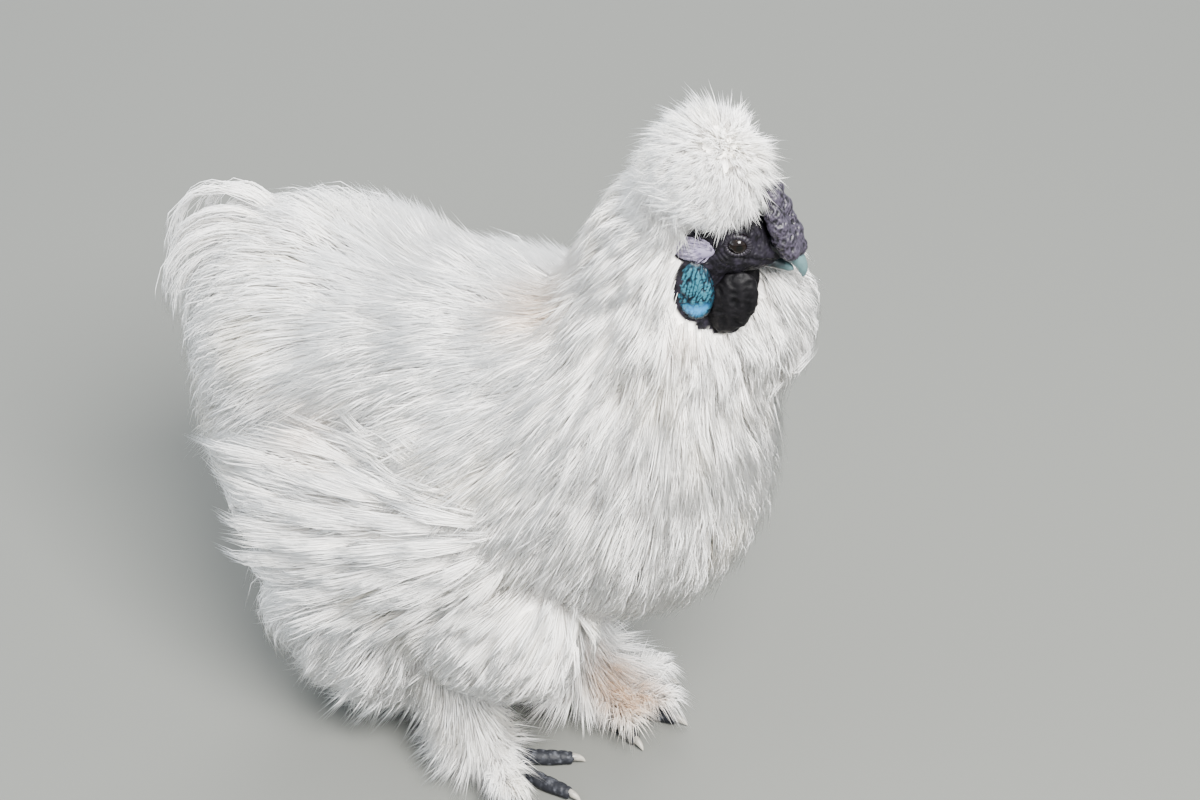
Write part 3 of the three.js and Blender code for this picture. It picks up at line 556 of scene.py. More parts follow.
def legTube(stations, wide, rows, around, shape=None):
    wide = np.broadcast_to(np.array(wide, float), (rows, 3))
    rings = tubeRings(pathThrough(stations, rows), wide, around, shape)
    rings[..., 2] = np.maximum(rings[..., 2], 0.02)  # the flat of the sole
    return rings


def footPoint(leg, side, ahead, aside, height):
    turned = turnZ(leg["turn"]) @ np.array([ahead, aside * side, 0.0])
    return np.array([leg["foot"][0] + turned[0], leg["foot"][1] + turned[1], height])


toeSizes = {
    "radius": 4.2, "padReach": 6, "scutes": 11,
    "toes": [(176, 27, 0), (-34, 34, 0), (-2, 40, 0), (34, 34, 0), (-152, 26, 15)],  # heading, length, rise
}


# Scutes: half rings over the top of a toe, radius * (0.94 + 0.13 * |sin| ** 0.5), and soft pads below
def scuteShape(along, angle):
    over = smooth(np.sin(angle), -0.1, 0.5)
    rings = np.abs(np.sin(along * math.pi * toeSizes["scutes"])) ** 0.5
    pads = np.sin(along * math.pi * 4 + 0.6) ** 2
    return 1 + 0.13 * rings * over + 0.1 * pads * (1 - over) - 0.06


def toeAside(leg, side, heading):
    ahead, aside = wayOf(heading)
    return turnZ(leg["turn"]) @ np.array([-aside * side, ahead, 0])


def toeLine(leg, side, heading, rise, reaches):
    ahead, aside = wayOf(heading)
    low = 11 if rise > 0 else toeSizes["radius"] * 0.86
    return [footPoint(leg, side, ahead * reach, aside * reach, low + height) for reach, height in reaches]


def skinParts():
    middle, ahead, tilt, far = spineFrames()
    side = np.zeros_like(ahead) + (0, 1, 0)
    side = unit(side - ahead * (side * ahead).sum(-1, keepdims=True))
    back = np.cross(ahead, side)
    angle = np.arange(skinSizes["around"]) / skinSizes["around"] * 2 * math.pi
    cos, sin = np.cos(angle)[None, :, None], np.sin(angle)[None, :, None]
    ways = np.cos(tilt)[:, None, None] * (cos * side[:, None] + sin * back[:, None])
    ways = unit(ways + np.sin(tilt)[:, None, None] * ahead[:, None])
    origins = np.broadcast_to(middle[:, None], ways.shape)
    rings = traceIn(origins, ways, skinField, far[:, None])
    flat = rings.reshape(-1, 3)
    bare = bareness(flat)
    open_ = bare > 0.01
    _, out = slopeOf(skinField, flat[open_])
    flat[open_] += out * (faceRelief(flat[open_]) * bare[open_])[:, None]
    rows, around = rings.shape[:2]
    row, column = np.meshgrid(np.arange(rows), np.arange(around), indexing="ij")
    # On the unwrap the body takes 0.01 to 0.85, and the legs and toes twelve strips from 0.87 to 0.99
    uv = np.stack([0.01 + row / (rows - 1) * 0.84, 0.01 + column / around * 0.98], -1).reshape(-1, 2)
    parts = [(rings, uv, bare, np.zeros(len(flat)))]  # rings, unwrap, bareness, scutes
    slot = 0
    for name, sign in sides.items():
        leg = legs[name]
        hock = np.array(leg["hock"], float)
        foot = footPoint(leg, sign, 0, 0, 5.4)
        top = hock + (0, 0, 22)
        shank = [(*top, 2, 2), (*(hock + (0, 0, 12)), 10, 11), (*(hock * 0.7 + foot * 0.3), 7.4, 8),
                 (*(hock * 0.35 + foot * 0.65), 6.4, 6.6), (*(hock * 0.1 + foot * 0.9), 7.6, 8.2),
                 (*foot, 9, 9), (*(foot - (0, 0, 4)), 3, 3)]
        tubes = [(legTube(shank, (0, 1, 0), 60, 40), 0.35)]
        for heading, length, rise in toeSizes["toes"]:
            reach = toeSizes["padReach"] + length
            line = toeLine(leg, sign, heading, rise,
                           [(0, 2.5), (reach * 0.3, 0.9), (reach * 0.66, rise * 0.35), (reach, rise - 0.4),
                            (reach + 2.2, rise - 0.8)])
            r = toeSizes["radius"]
            radii = [(r * 1.1, r * 1.1), (r, r), (r * 0.88, r * 0.9), (r * 0.72, r * 0.75), (0.8, 0.8)]
            stations = [(*p, *size) for p, size in zip(line, radii)]
            tubes.append((legTube(stations, toeAside(leg, sign, heading), 56, 24, scuteShape), 1.0))
        for tube, bareHere in tubes:
            rows, around = tube.shape[:2]
            row, column = np.meshgrid(np.arange(rows), np.arange(around), indexing="ij")
            uv = np.stack([0.87 + row / (rows - 1) * 0.12, (slot + 0.06 + column / around * 0.86) / 12], -1)
            count = rows * around
            parts.append((tube, uv.reshape(-1, 2), np.full(count, bareHere), np.full(count, bareHere)))
            slot += 1
    return parts


parts = skinParts()
points, faces = gathered([closeRings(rings) for rings, *_ in parts])
uv, bare, scute = (np.concatenate([np.concatenate([part[i], part[i][[0, -1]]]) for part in parts])
                   for i in (1, 2, 3))
skin = newObject("skin", points, faces, uv, {
    "bare": bare, "scute": scute, "soil": soiled(points), "peach": peachy(points)})
fleshNodes = ["torso", "neck", "crest", "tail", "head"] + [
    f"{part}_{name}" for name in sides for part in ("wing", "thigh", "shank", "foot")] + [
    f"toe_{name}{i}" for name in sides for i in range(1, 6)]
finishPiece(skin, skinMaterial(), fleshNodes)
print("skin:", len(skin.data.polygons), "faces")

# Plumage

# The cells of the skin where coats are rooted: middle, area, place on the unwrap and the nearest core
grid = parts[0][0]
gridUv = parts[0][1].reshape(grid.shape[0], grid.shape[1], 2)
after = np.roll(grid, -1, axis=1)
cellAt = ((grid[:-1] + grid[1:] + after[:-1] + after[1:]) / 4).reshape(-1, 3)
cellArea = np.linalg.norm(np.cross(grid[1:] - grid[:-1], after[:-1] - grid[:-1]), axis=-1).ravel()
cellUv = gridUv[:-1].reshape(-1, 2)
coreNames = list(cores)
cellCore = np.stack([cores[name](cellAt) for name in coreNames]).argmin(0)
cellBare = (bareness(cellAt) > 0.3) & (
    (fromLobes(cellAt) > 3) | (fromLobes(cellAt) < 0.8) | (outsideGap(cellAt) < 1))


# Roots spread over the skin's cells in proportion to area * weight, in even steps of the running total
def rootsOn(weight, count, rng):
    total = np.cumsum(cellArea * weight)
    picks = np.searchsorted(total, (np.arange(count) + rng.uniform(0, 1, count)) / count * total[-1])
    picks = np.minimum(picks, len(total) - 1)
    return cellAt[picks] + rng.normal(0, 0.7, (count, 3)), cellUv[picks]


# Guides: from each root, steps along the lie on levels of the field that rise from the skin to the tip's
# level by 1 - (1 - t) ** bulge. The heading keeps a share of itself at each step.
def layGuides(roots, field, lie, length, tipLevel, swing, steps=6, bulge=1.9, sunk=1.5):
    p = roots.copy()
    rootLevel = field(p) - sunk
    places, facing = [], []
    before = None
    c, s = np.cos(swing)[:, None], np.sin(swing)[:, None]
    for k in range(steps + 1):
        level = rootLevel + (tipLevel - rootLevel) * (1 - (1 - k / steps) ** bulge)
        for _ in range(2):
            value, out = slopeOf(field, p)
            p = p + out * (level - value)[:, None]
        ahead = lie(p)
        ahead = unit(ahead - out * (ahead * out).sum(-1, keepdims=True))
        ahead = ahead * c + np.cross(out, ahead) * s
        if before is not None:
            ahead = ahead * 0.4 + before * 0.6
            ahead = unit(ahead - out * (ahead * out).sum(-1, keepdims=True))
        places.append(p)
        facing.append(out)
        before = ahead
        p = p + ahead * (length / steps)[:, None]
    return np.stack(places, 1), np.stack(facing, 1)


# How far a point is outside the comb, lobes, bill and eyes, which strands of the head keep clear of,
# as they do of the gap of dark skin between the wattle and the lobe behind it
def organs(p):
    lobed = np.minimum(fromLobes(p), outsideGap(p) + 0.5)
    return np.minimum(lobed, fromHardParts(p))


# What a plume is where its own entry says nothing else: rings along a thread, spread at the root, how it
# gathers at the tip, waves, share of wild threads, fall of the tip, where on its guide it starts and ends,
# swing of the guides in degrees, steps of a guide, how fast it rises, and how deep it is rooted
usualPlume = {
    "rings": 2, "root": 0.35, "gather": 0.1, "wave": 0.8, "wild": 0.06, "droop": 0.0, "start": 0.22,
    "end": (0.72, 1.06), "swing": 7, "steps": 6, "bulge": 1.9, "sunk": 1.5,
}


# Strands round each guide. Across the guide a strand stands off by aside * (root + (1 - root) * t ** 0.8) *
# (1 - gather * t * t), and out of it by stand in the same way. It is a three-sided tapered thread.
def growStrands(places, facing, uv, look, rng):
    look = {**usualPlume, **look}
    count, knots = places.shape[:2]
    each = look["strands"]
    owner = np.repeat(np.arange(count), each)
    total = len(owner)
    rings = look["rings"]
    tau = np.linspace(0, 1, rings + 1)[None, :]
    start = rng.uniform(0, look["start"], total)[:, None]
    end = rng.uniform(look["end"][0], look["end"][1], total)[:, None]
    t = (start + (end - start) * tau) * (knots - 1)
    k = np.clip(t.astype(int), 0, knots - 2)
    f = (t - k)[..., None]
    ahead = unit(np.gradient(places, axis=1))
    aside = np.cross(ahead, facing)
    rows = owner[:, None]
    at = places[rows, k] * (1 - f) + places[rows, k + 1] * f
    wideWay = aside[rows, k]
    outWay = facing[rows, k]
    a = rng.normal(0, 1, total)[:, None] * look["aside"]
    b = rng.normal(0, 1, total)[:, None] * look["stand"]
    wild = (rng.uniform(0, 1, total) < look["wild"])[:, None]
    a = np.where(wild, a * 1.7, a)
    b = np.where(wild, np.abs(b) * 1.6 + 0.8, b)
    spread = (look["root"] + (1 - look["root"]) * tau**0.8) * (1 - look["gather"] * tau**2)
    phase = rng.uniform(0, 2 * math.pi, (total, 2))
    wave = look["wave"] * tau
    a = a * spread + wave * np.sin(tau * 4.2 + phase[:, :1])
    b = b * spread + wave * 0.7 * np.sin(tau * 3.6 + phase[:, 1:])
    line = at + wideWay * a[..., None] + outWay * b[..., None]
    line[..., 2] -= look["droop"] * tau**2
    line[..., 2] = np.maximum(line[..., 2], 1.2)  # clear of the floor
    if "clear" in look:
        kept = organs(line).min(1) > look["clear"]
        line, owner, outWay = line[kept], owner[kept], outWay[kept]
        total = len(owner)
    along = unit(np.gradient(line, axis=1))
    high = unit(outWay - along * (outWay * along).sum(-1, keepdims=True))
    wide = np.cross(along, high)
    roll = rng.uniform(0, 2 * math.pi, total)[:, None]
    width = look["width"] * rng.uniform(0.75, 1.25, total)[:, None] * (1 - 0.55 * tau**1.5) / 2
    corners = []
    for third in range(3):
        angle = roll + third * 2 * math.pi / 3
        up, over = (np.cos(angle) * width)[..., None], (np.sin(angle) * width)[..., None]
        corners.append(line + up * high + over * wide)
    body = np.stack(corners, 2)[:, :rings].reshape(total, rings * 3, 3)
    points = np.concatenate([body, line[:, -1:]], 1)
    size = rings * 3 + 1
    faces = [(0, 2, 1)]
    for r in range(rings - 1):
        for j in range(3):
            one, two = 3 * r + j, 3 * r + (j + 1) % 3
            faces += [(one, two, two + 3), (one, two + 3, one + 3)]
    faces += [(3 * rings - 3 + j, 3 * rings - 3 + (j + 1) % 3, 3 * rings) for j in range(3)]
    triangles = (np.array(faces)[None] + (np.arange(total) * size)[:, None, None]).reshape(-1, 3)
    reach = np.append(np.repeat(np.linspace(0, 1, rings + 1)[:-1], 3), 1.0)
    turn = np.append(np.tile([-1.0, 0.0, 1.0], rings), 0.0)
    patch = np.stack([turn * 0.0015 * (1.1 - reach), (reach - 0.5) * 0.003], -1)
    where = np.clip(uv, 0.004, 0.996)[owner][:, None] + patch[None]
    tone = np.repeat(rng.uniform(0, 1, count)[owner] * 0.5 + rng.uniform(0, 1, total) * 0.5, size)
    marks = np.zeros((total * size, 4))
    marks[:, 0] = tone
    marks[:, 1] = np.tile(reach, total)
    flat = points.reshape(-1, 3)
    marks[:, 2] = soiled(flat) if look.get("soil") else 0
    marks[:, 3] = peachy(flat)
    return flat, triangles, where.reshape(-1, 2), marks


silk = plumageMaterial("white silk plumage", False)


def coatPiece(name, bunches, look=silk):
    points, faces = gathered([bunch[:2] for bunch in bunches])
    uv, marks = (np.concatenate([bunch[i] for bunch in bunches]) for i in (2, 3))
    made = newObject(name, points, faces, uv, {"strand": marks})
    finishPiece(made, look)
    print(name + ":", len(made.data.polygons), "triangles")


def bodyLie(p):
    source, back = np.array([110.0, 0, 262]), smooth(-70 - p[..., 0], 0, 70)
    way = unit(p - source)
    way[..., 2] -= 0.2 + 0.7 * back
    return way


def awayFrom(source):
    return lambda p: p - source


def crestLie(p):
    q = fromHead(p) - np.array(outlines["crest"][0]["at"], float)
    way = np.stack([(q[..., 0] - 8) / 16, q[..., 1] / 16, np.full(q.shape[:-1], -0.35)], -1)
    ruffled = np.exp(-((q[..., 0] - 8) ** 2 + q[..., 1] ** 2) / 18**2)[..., None]
    way = way + ruffled * 0.9 * np.stack([lumps(q, 8.0, seed) for seed in (61, 62, 63)], -1)
    return way @ headTurn.T


torsoField = outlineField("torso")
neckField = joined([outlineField("neck"), lambda p: torsoField(p) - 2], 10)
crestField = outlineField("crest")
bodyField = joined([torsoField, outlineField("tail"), outlineField("neck")], 14)

# Each coat: clumps, their length, strands in each and how wide those are, how far they stand off the guide
# to its sides and outwards, and the level of their tips over the outline
coatLooks = {
    "breast": {"clumps": 1000, "length": 46, "strands": 13, "width": 0.58, "aside": 3.4, "stand": 1.6,
               "tip": 0.5},
    "flank": {"clumps": 860, "length": 50, "strands": 13, "width": 0.58, "aside": 3.6, "stand": 1.5,
              "tip": 0.0, "folds": True},
    "rump": {"clumps": 780, "length": 70, "strands": 12, "width": 0.62, "aside": 4.0, "stand": 2.0,
             "tip": -1.0, "rings": 3, "folds": True},
    "saddle": {"clumps": 400, "length": 24, "strands": 10, "width": 0.62, "aside": 3.7, "stand": 1.6,
               "tip": -1.5, "start": 0.02, "end": (0.8, 1.06), "gather": 0.0, "bulge": 1.8, "swing": 14},
    "belly": {"clumps": 460, "length": 30, "strands": 13, "width": 0.58, "aside": 3.2, "stand": 2.4,
              "tip": 4.0, "bulge": 1.3, "wild": 0.12, "droop": 5.0, "swing": 16},
    "hackle": {"clumps": 1000, "length": 44, "strands": 13, "width": 0.5, "aside": 2.0, "stand": 1.0,
               "tip": 0.5, "clear": 0.5},
    "collar": {"clumps": 950, "length": 17, "strands": 9, "width": 0.44, "aside": 1.5, "stand": 1.0,
               "tip": -3.0, "start": 0.04, "end": (0.6, 1.1), "gather": 0.35, "sunk": 0.0, "clear": 0.3,
               "bulge": 1.3},
    "crestFringe": {"clumps": 1400, "length": 8, "strands": 8, "width": 0.44, "aside": 1.7, "stand": 1.2,
                    "tip": -2.0, "bulge": 1.1, "root": 0.2, "gather": -0.3, "wave": 0.4, "steps": 4,
                    "clear": 0.2, "swing": 24},
    "crestWisps": {"clumps": 380, "length": 11, "strands": 6, "width": 0.34, "aside": 1.6, "stand": 1.6,
                   "tip": 2.0, "bulge": 1.1, "root": 0.2, "gather": -0.2, "wave": 0.6, "steps": 4,
                   "clear": 0.2},
    "brow": {"clumps": 260, "length": 17, "strands": 7, "width": 0.38, "aside": 1.2, "stand": 0.9,
             "tip": -4.0, "bulge": 1.4, "root": 0.3, "gather": 0.0, "wave": 0.4, "steps": 4, "clear": 0.2},
    "nape": {"clumps": 260, "length": 27, "strands": 9, "width": 0.42, "aside": 2.0, "stand": 1.3,
             "tip": 0.5, "bulge": 1.4, "root": 0.3, "gather": 0.0, "wave": 0.5, "steps": 5, "clear": 3.0,
             "swing": 12},
    "thigh": {"clumps": 340, "length": 40, "strands": 13, "width": 0.58, "aside": 2.4, "stand": 1.2,
              "tip": 0.5, "gather": 0.35},
    "wingCovert": {"clumps": 300, "length": 40, "strands": 12, "width": 0.58, "aside": 2.6, "stand": 0.9,
                   "tip": 0.0, "gather": 0.35},
}


# The fold between the saddle and the wing, on each side: the coat sinks by deep * exp(-(distance / wide)^2)
foldSizes = {
    "line": [(28, 45, 234), (2, 59, 227), (-19, 66, 218), (-47, 68, 204), (-76, 70, 185), (-107, 64, 143)],
    "deep": 9.0, "wide": 9.0,
}


def foldDepth(p):
    line = np.array(foldSizes["line"], float)
    q = p * (1, 0, 1) + np.abs(p) * (0, 1, 0)
    away = []
    for one, two in zip(line[:-1], line[1:]):
        share = np.clip(((q - one) @ (two - one)) / ((two - one) @ (two - one)), 0, 1)
        away.append(np.linalg.norm(q - one - share[:, None] * (two - one), axis=-1))
    return foldSizes["deep"] * np.exp(-(np.stack(away).min(0) / foldSizes["wide"]) ** 2)


# One coat on the skin's cells, by their weight. The tips lie on the field's level, up to 5 mm below it.
def coatBunch(name, where, field, lie, seed, longer=None):
    look = {**usualPlume, **coatLooks[name]}
    rng = np.random.default_rng(seed)
    count = int(look["clumps"] * fewer)
    roots, uv = rootsOn(where.astype(float), count, rng)
    length = look["length"] * rng.uniform(0.8, 1.2, count)
    if longer is not None:
        length = length * longer(roots)
    tip = look["tip"] - rng.uniform(0, 1, count) ** 2 * 5
    if look.get("folds"):
        over = roots.copy()
        for _ in range(3):
            value, out = slopeOf(field, over)
            over -= out * value[:, None]
        tip = tip - foldDepth(over)
    swing = rng.normal(0, math.radians(look["swing"]), count)
    places, facing = layGuides(roots, field, lie, length, tip, swing, look["steps"], look["bulge"],
                               look["sunk"])
    return growStrands(places, facing, uv, look, rng)


def isCore(*names):
    return np.isin(cellCore, [coreNames.index(name) for name in names]) & ~cellBare


torsoCells = isCore("torso", "tail")
x, y, z = cellAt.T
under = slopeOf(torsoField, cellAt)[1][:, 2] < -0.35
# The saddle's short plumes fill the steps under the tips of the hackle (x = 26) and the flanks (x = -70)
belowTips = np.exp(-(((x - 26) / 20) ** 2)) + 1.5 * np.exp(-(((x + 70) / 20) ** 2))
lowSaddle = (z > 165) * (0.05 + belowTips) * np.exp(-((y / 46) ** 4)) * (x > -110) * (x < 62)
areas = {
    "breast": torsoCells & (x > 18),
    "flankR": torsoCells & (x <= 18) & (x > -62) & (y < 0),
    "flankL": torsoCells & (x <= 18) & (x > -62) & (y >= 0),
    "rumpR": torsoCells & (x <= -62) & (y < 0),
    "rumpL": torsoCells & (x <= -62) & (y >= 0),
    "belly": torsoCells & under & (x < 40),
    "saddle": (torsoCells | isCore("neck")) * lowSaddle,
}
for i, (name, cells) in enumerate(areas.items()):
    field = torsoField if name == "breast" else bodyField
    coatPiece(name, [coatBunch(name.rstrip("RL"), cells, field, bodyLie, 11 + i)])

upperNeck = onHead((-6, 0, 24))
nape = isCore("neck") | (isCore("head") & (fromHead(cellAt)[:, 0] < -12))
edge = nape & (fromLobes(cellAt) < 22)
hackle = coatBunch("hackle", nape, neckField, awayFrom(upperNeck), 31,
                   lambda p: 0.62 + 0.62 * smooth(np.linalg.norm(p - headAt, axis=-1), 20, 70))
coatPiece("hackle", [hackle])
coatPiece("collar", [coatBunch("collar", edge, neckField, awayFrom(upperNeck), 32)])


# Near the parting the crest's strands stand straight up, and from there they lean out more and more
def leaning(p):
    q = fromHead(p) - np.array(outlines["crest"][0]["at"], float)
    return 0.55 + 0.45 * smooth(np.hypot(q[..., 0] - 6, q[..., 1]), 1, 15)


# The crest, with its low fringe over the brow, and behind the longest plumes, which fall over the nape
crestCells = isCore("crest")
onSkull = fromHead(cellAt)
behind = onSkull - np.array(outlines["crest"][0]["at"], float)
browCells = crestCells & (onSkull[:, 2] < 19) & (onSkull[:, 0] > -24)
napeCells = crestCells & (behind[:, 0] < -9) & (behind[:, 2] < 8)
overNape = joined([crestField, neckField], 10)
coatPiece("crestFringe", [
    coatBunch("crestFringe", crestCells, crestField, crestLie, 41, leaning),
    coatBunch("crestWisps", crestCells, crestField, crestLie, 42, leaning),
    coatBunch("brow", browCells, crestField, lambda p: crestLie(p) - headTurn[:, 2] * 0.5, 43),
    coatBunch("nape", napeCells, overNape, awayFrom(onHead((-6, 0, 70))), 44),
])

# Wings: tiers of soft plumes round the wrist, over a bed of coverts
wingSizes = {
    "wrist": (50, 62, 164), "aside": 63,
    # distance from the wrist, plumes, first and last bearing in degrees from straight ahead, length
    "rows": [(20, 6, 172, 262, 46), (34, 7, 172, 252, 50), (48, 8, 172, 246, 54), (62, 8, 172, 240, 56),
             (78, 9, 171, 233, 62), (94, 9, 171, 226, 68), (106, 8, 172, 222, 74)],
    "plume": {"strands": 56, "width": 0.56, "aside": 4.2, "stand": 0.7, "start": 0.4, "end": (0.6, 1.04),
              "root": 0.14, "gather": 0.55, "wave": 0.7, "wild": 0.04, "rings": 3},
}


def nearestUv(p):
    coarse, coarseUv = grid[::3, ::3].reshape(-1, 3), gridUv[::3, ::3].reshape(-1, 2)
    apart = (p**2).sum(-1)[:, None] + (coarse**2).sum(-1)[None] - 2 * p @ coarse.T
    return coarseUv[apart.argmin(1)]


def wingPlumes(side, wrist, field, seed):
    rng = np.random.default_rng(seed)
    starts, lengths = [], []
    for r, (reach, count, first, last, length) in enumerate(wingSizes["rows"]):
        bearing = np.radians(first + (last - first) * (np.arange(count) + (r % 2) * 0.5) / (count - 0.5))
        x = wrist[0] + np.cos(bearing) * reach
        z = wrist[2] + np.sin(bearing) * reach
        starts.append(np.stack([x, np.full(count, wingSizes["aside"] * side), z], -1))
        lengths.append(length * rng.uniform(0.9, 1.12, count))
    starts, lengths = np.concatenate(starts), np.concatenate(lengths)
    core = cores["wingR" if side < 0 else "wingL"]
    kept = core(starts) < -1
    starts, lengths = starts[kept], lengths[kept]
    roots = traceIn(starts, np.broadcast_to(np.array([0.0, side, 0]), starts.shape), core, 60)
    places, facing = layGuides(roots, field, awayFrom(wrist), lengths, rng.uniform(3, 10, len(roots)),
                               rng.normal(0, 0.05, len(roots)), bulge=1.5)
    return growStrands(places, facing, nearestUv(roots), wingSizes["plume"], rng)


for name, side in sides.items():
    field = joined([outlineField("wing", side), torsoField], 8)
    wrist = np.array(wingSizes["wrist"], float) * (1, side, 1)
    coverts = coatBunch("wingCovert", isCore("wing" + name), field, awayFrom(wrist), 50 + side)
    coatPiece("wingPlumes_" + name, [coverts, wingPlumes(side, wrist, field, 60 + side)])
    thighField = joined([outlineField("thigh", side), lambda p: torsoField(p) + 4], 10)
    fluff = coatBunch("thigh", isCore("thigh" + name), thighField,
                      lambda p: np.zeros_like(p) + (-0.55, 0, -0.83), 70 + side)
    coatPiece("thighFluff_" + name, [fluff])

# Tail: sickle plumes that leave the core in pairs, rise, arch back and hang
tailSizes = {
    # aside, forward, length, rise in degrees
    "sickles": [(0, 4, 116, 46), (8, 10, 106, 36), (-8, 10, 106, 36), (15, 4, 88, 24), (-15, 4, 88, 24),
                (5, -8, 84, 34), (-5, -8, 84, 34), (12, -10, 66, 14), (-12, -10, 66, 14), (20, 2, 58, -4),
                (-20, 2, 58, -4), (3, 2, 98, 50), (-4, 8, 110, 40), (11, 0, 92, 30), (-11, 0, 92, 30),
                (17, -4, 74, 10), (-17, -4, 74, 10)],
    "plume": {"strands": 58, "width": 0.52, "aside": 3.4, "stand": 1.4, "start": 0.55, "end": (0.6, 1.04),
              "root": 0.1, "gather": 0.2, "wave": 1.5, "wild": 0.08, "rings": 5, "droop": 2.0},
}


def sicklePlumes(seed):
    rng = np.random.default_rng(seed)
    rows = np.array(tailSizes["sickles"], float)
    middle = np.array(outlines["tail"][0]["at"], float)
    ways = unit(np.stack([rows[:, 1] - 4, rows[:, 0], np.full(len(rows), 14.0)], -1))
    p = traceIn(np.broadcast_to(middle, ways.shape), ways, cores["tail"], 60) - ways * 4
    steps = 8
    fan = np.radians(rows[:, 0] * 1.4 + rng.normal(0, 4, len(rows)))
    back = np.stack([-np.cos(fan), np.sin(fan), np.zeros(len(rows))], -1)
    across = np.stack([np.sin(fan), np.cos(fan), np.zeros(len(rows))], -1)
    places, facing = [], []
    roots = p.copy()
    for k in range(steps + 1):
        pitch = np.radians(rows[:, 3] - min(k / (steps - 1.5), 1) * (rows[:, 3] + 86))[:, None]
        ahead = back * np.cos(pitch) + np.array([0, 0, 1.0]) * np.sin(pitch)
        places.append(p)
        facing.append(-np.cross(ahead, across))
        p = p + ahead * (rows[:, 2] / steps)[:, None]
    return growStrands(np.stack(places, 1), np.stack(facing, 1), nearestUv(roots), tailSizes["plume"], rng)


coatPiece("tailSickles", [sicklePlumes(81)])

# Legs: plumes down the shanks and over the outer toes, with the ground's dirt on the left foot
legSizes = {
    # height on the shank, reach, fall
    "rows": [(1.0, 20, 34), (0.9, 19, 34), (0.78, 20, 32), (0.66, 22, 30), (0.54, 24, 27), (0.42, 26, 23),
             (0.32, 27, 18), (0.22, 28, 13), (0.13, 28, 8)],
    "ball": [(0.34, 32, 11), (0.24, 33, 8), (0.15, 33, 4)],  # more of them on the fuller left foot
    "fan": {"R": (-70, 250), "L": (-170, 340)}, "fuller": {"R": 1.0, "L": 1.25}, "apart": 19,
    "plume": {"strands": 20, "width": 0.5, "aside": 3.6, "stand": 2.2, "start": 0.35, "end": (0.66, 1.08),
              "root": 0.35, "gather": 0.0, "wave": 0.8, "wild": 0.05, "rings": 2, "soil": True},
    "toePlume": {"strands": 24, "width": 0.48, "aside": 2.8, "stand": 1.6, "start": 0.3, "end": (0.6, 1.05),
                 "root": 0.4, "gather": 0.0, "wave": 0.6, "rings": 2, "soil": True},
    "plumedToes": {"R": [(34, 34)], "L": [(34, 34), (-2, 40), (-34, 34)]},
}


def legPlumes(name, side, seed):
    rng = np.random.default_rng(seed)
    leg = legs[name]
    hock, foot = np.array(leg["hock"], float), footPoint(leg, side, 0, 0, 5.4)
    first, covered = legSizes["fan"][name]
    places, facing = [], []
    for height, reach, fall in legSizes["rows"] + (legSizes["ball"] if name == "L" else []):
        count = int(round(covered / legSizes["apart"]))
        share = (np.arange(count) + rng.uniform(0, 0.8, count)) / count
        bearing = np.radians(leg["turn"] + side * (first + share * covered))
        out = np.stack([np.cos(bearing), np.sin(bearing), np.zeros(count)], -1)
        start = foot + (hock - foot) * height
        tip = reach * legSizes["fuller"][name] * rng.uniform(0.85, 1.2, count)
        drop = fall * rng.uniform(0.85, 1.15, count)
        past = np.stack([np.full(count, 2.0), np.full(count, 8.0), tip * 0.5, tip * 0.78, tip], -1)
        low = np.stack([np.full(count, -2.0), np.full(count, 1.0), drop * 0.3, drop * 0.6, drop], -1)
        points = start + out[:, None] * past[..., None]
        points[..., 2] = np.maximum(points[..., 2] - low, 2.5)
        places.append(points)
        rising = np.array([0, 0, 1.0]) * np.array([0, 0.3, 0.5, 0.7, 0.8])[:, None]
        facing.append(unit(out[:, None] + rising))
    return np.concatenate(places), np.concatenate(facing), rng


def toePlumes(name, side, rng):
    leg = legs[name]
    places, facing = [], []
    for heading, length in legSizes["plumedToes"][name]:
        for reach in np.linspace(3, 6 + length * 0.8, 12):
            for lean in (-1, 1):
                far, wide = wayOf(heading + lean * rng.uniform(10, 62))
                ahead, aside = wayOf(heading)
                places.append([
                    footPoint(leg, side, ahead * reach + far * past, aside * reach + wide * past, height)
                    for past, height in ((-3, 6), (3, 13), (9, 17), (15, 15), (21, 8))])
                facing.append(np.tile([0, 0, 1.0], (5, 1)))
    return np.array(places), np.array(facing)


# Places of the feet's plumes on the unwrap: one column a leg for the shank and one for the toes
def legUv(count, column):
    return np.stack([np.linspace(0.88, 0.98, count), np.full(count, column)], -1)


bunches = []
for name, side in sides.items():
    along = 0 if side < 0 else 0.5
    places, facing, rng = legPlumes(name, side, 90 + side)
    bunches.append(growStrands(places, facing, legUv(len(places), 0.04 + along), legSizes["plume"], rng))
    places, facing = toePlumes(name, side, rng)
    bunches.append(growStrands(places, facing, legUv(len(places), 0.37 + along), legSizes["toePlume"], rng))
coatPiece("legPlumes", bunches, plumageMaterial("soiled silk plumage", True))

# Comb


# Walnut comb: bulbs in rows that run together, wrinkled by |lumps| at 3.4 mm and 1.4 mm
def combPiece():
    field = joined(combFields, 2.2)
    rings, poles = blob(onHead(combSizes["middle"]), field, 130, 190, 40, headTurn[:, 2], headTurn[:, 0])
    points, quads, fans = closeRings(rings, poles)
    _, out = slopeOf(field, points)
    folds = 1 - np.abs(lumps(points, 3.4, 21))
    fine = lumps(points, 1.4, 23)
    relief = 0.55 * folds + 0.16 * fine
    points = points + out * (relief - 0.35)[:, None]
    # The height value makes the comb lighter on the tops of its bulbs and folds and darker in the wrinkles:
    # painted highlight and painted shade
    made = newObject("combWalnut", points, [quads, fans], None, {"height": smooth(relief, 0.0, 0.75)})
    look = mottledMaterial("mulberry comb hide", "#0A090D", "#38333F", "height", 0.42, 0.9, 0.25, 0.2)
    finishPiece(made, look, ["comb"])


combPiece()

# Wattles and lobes

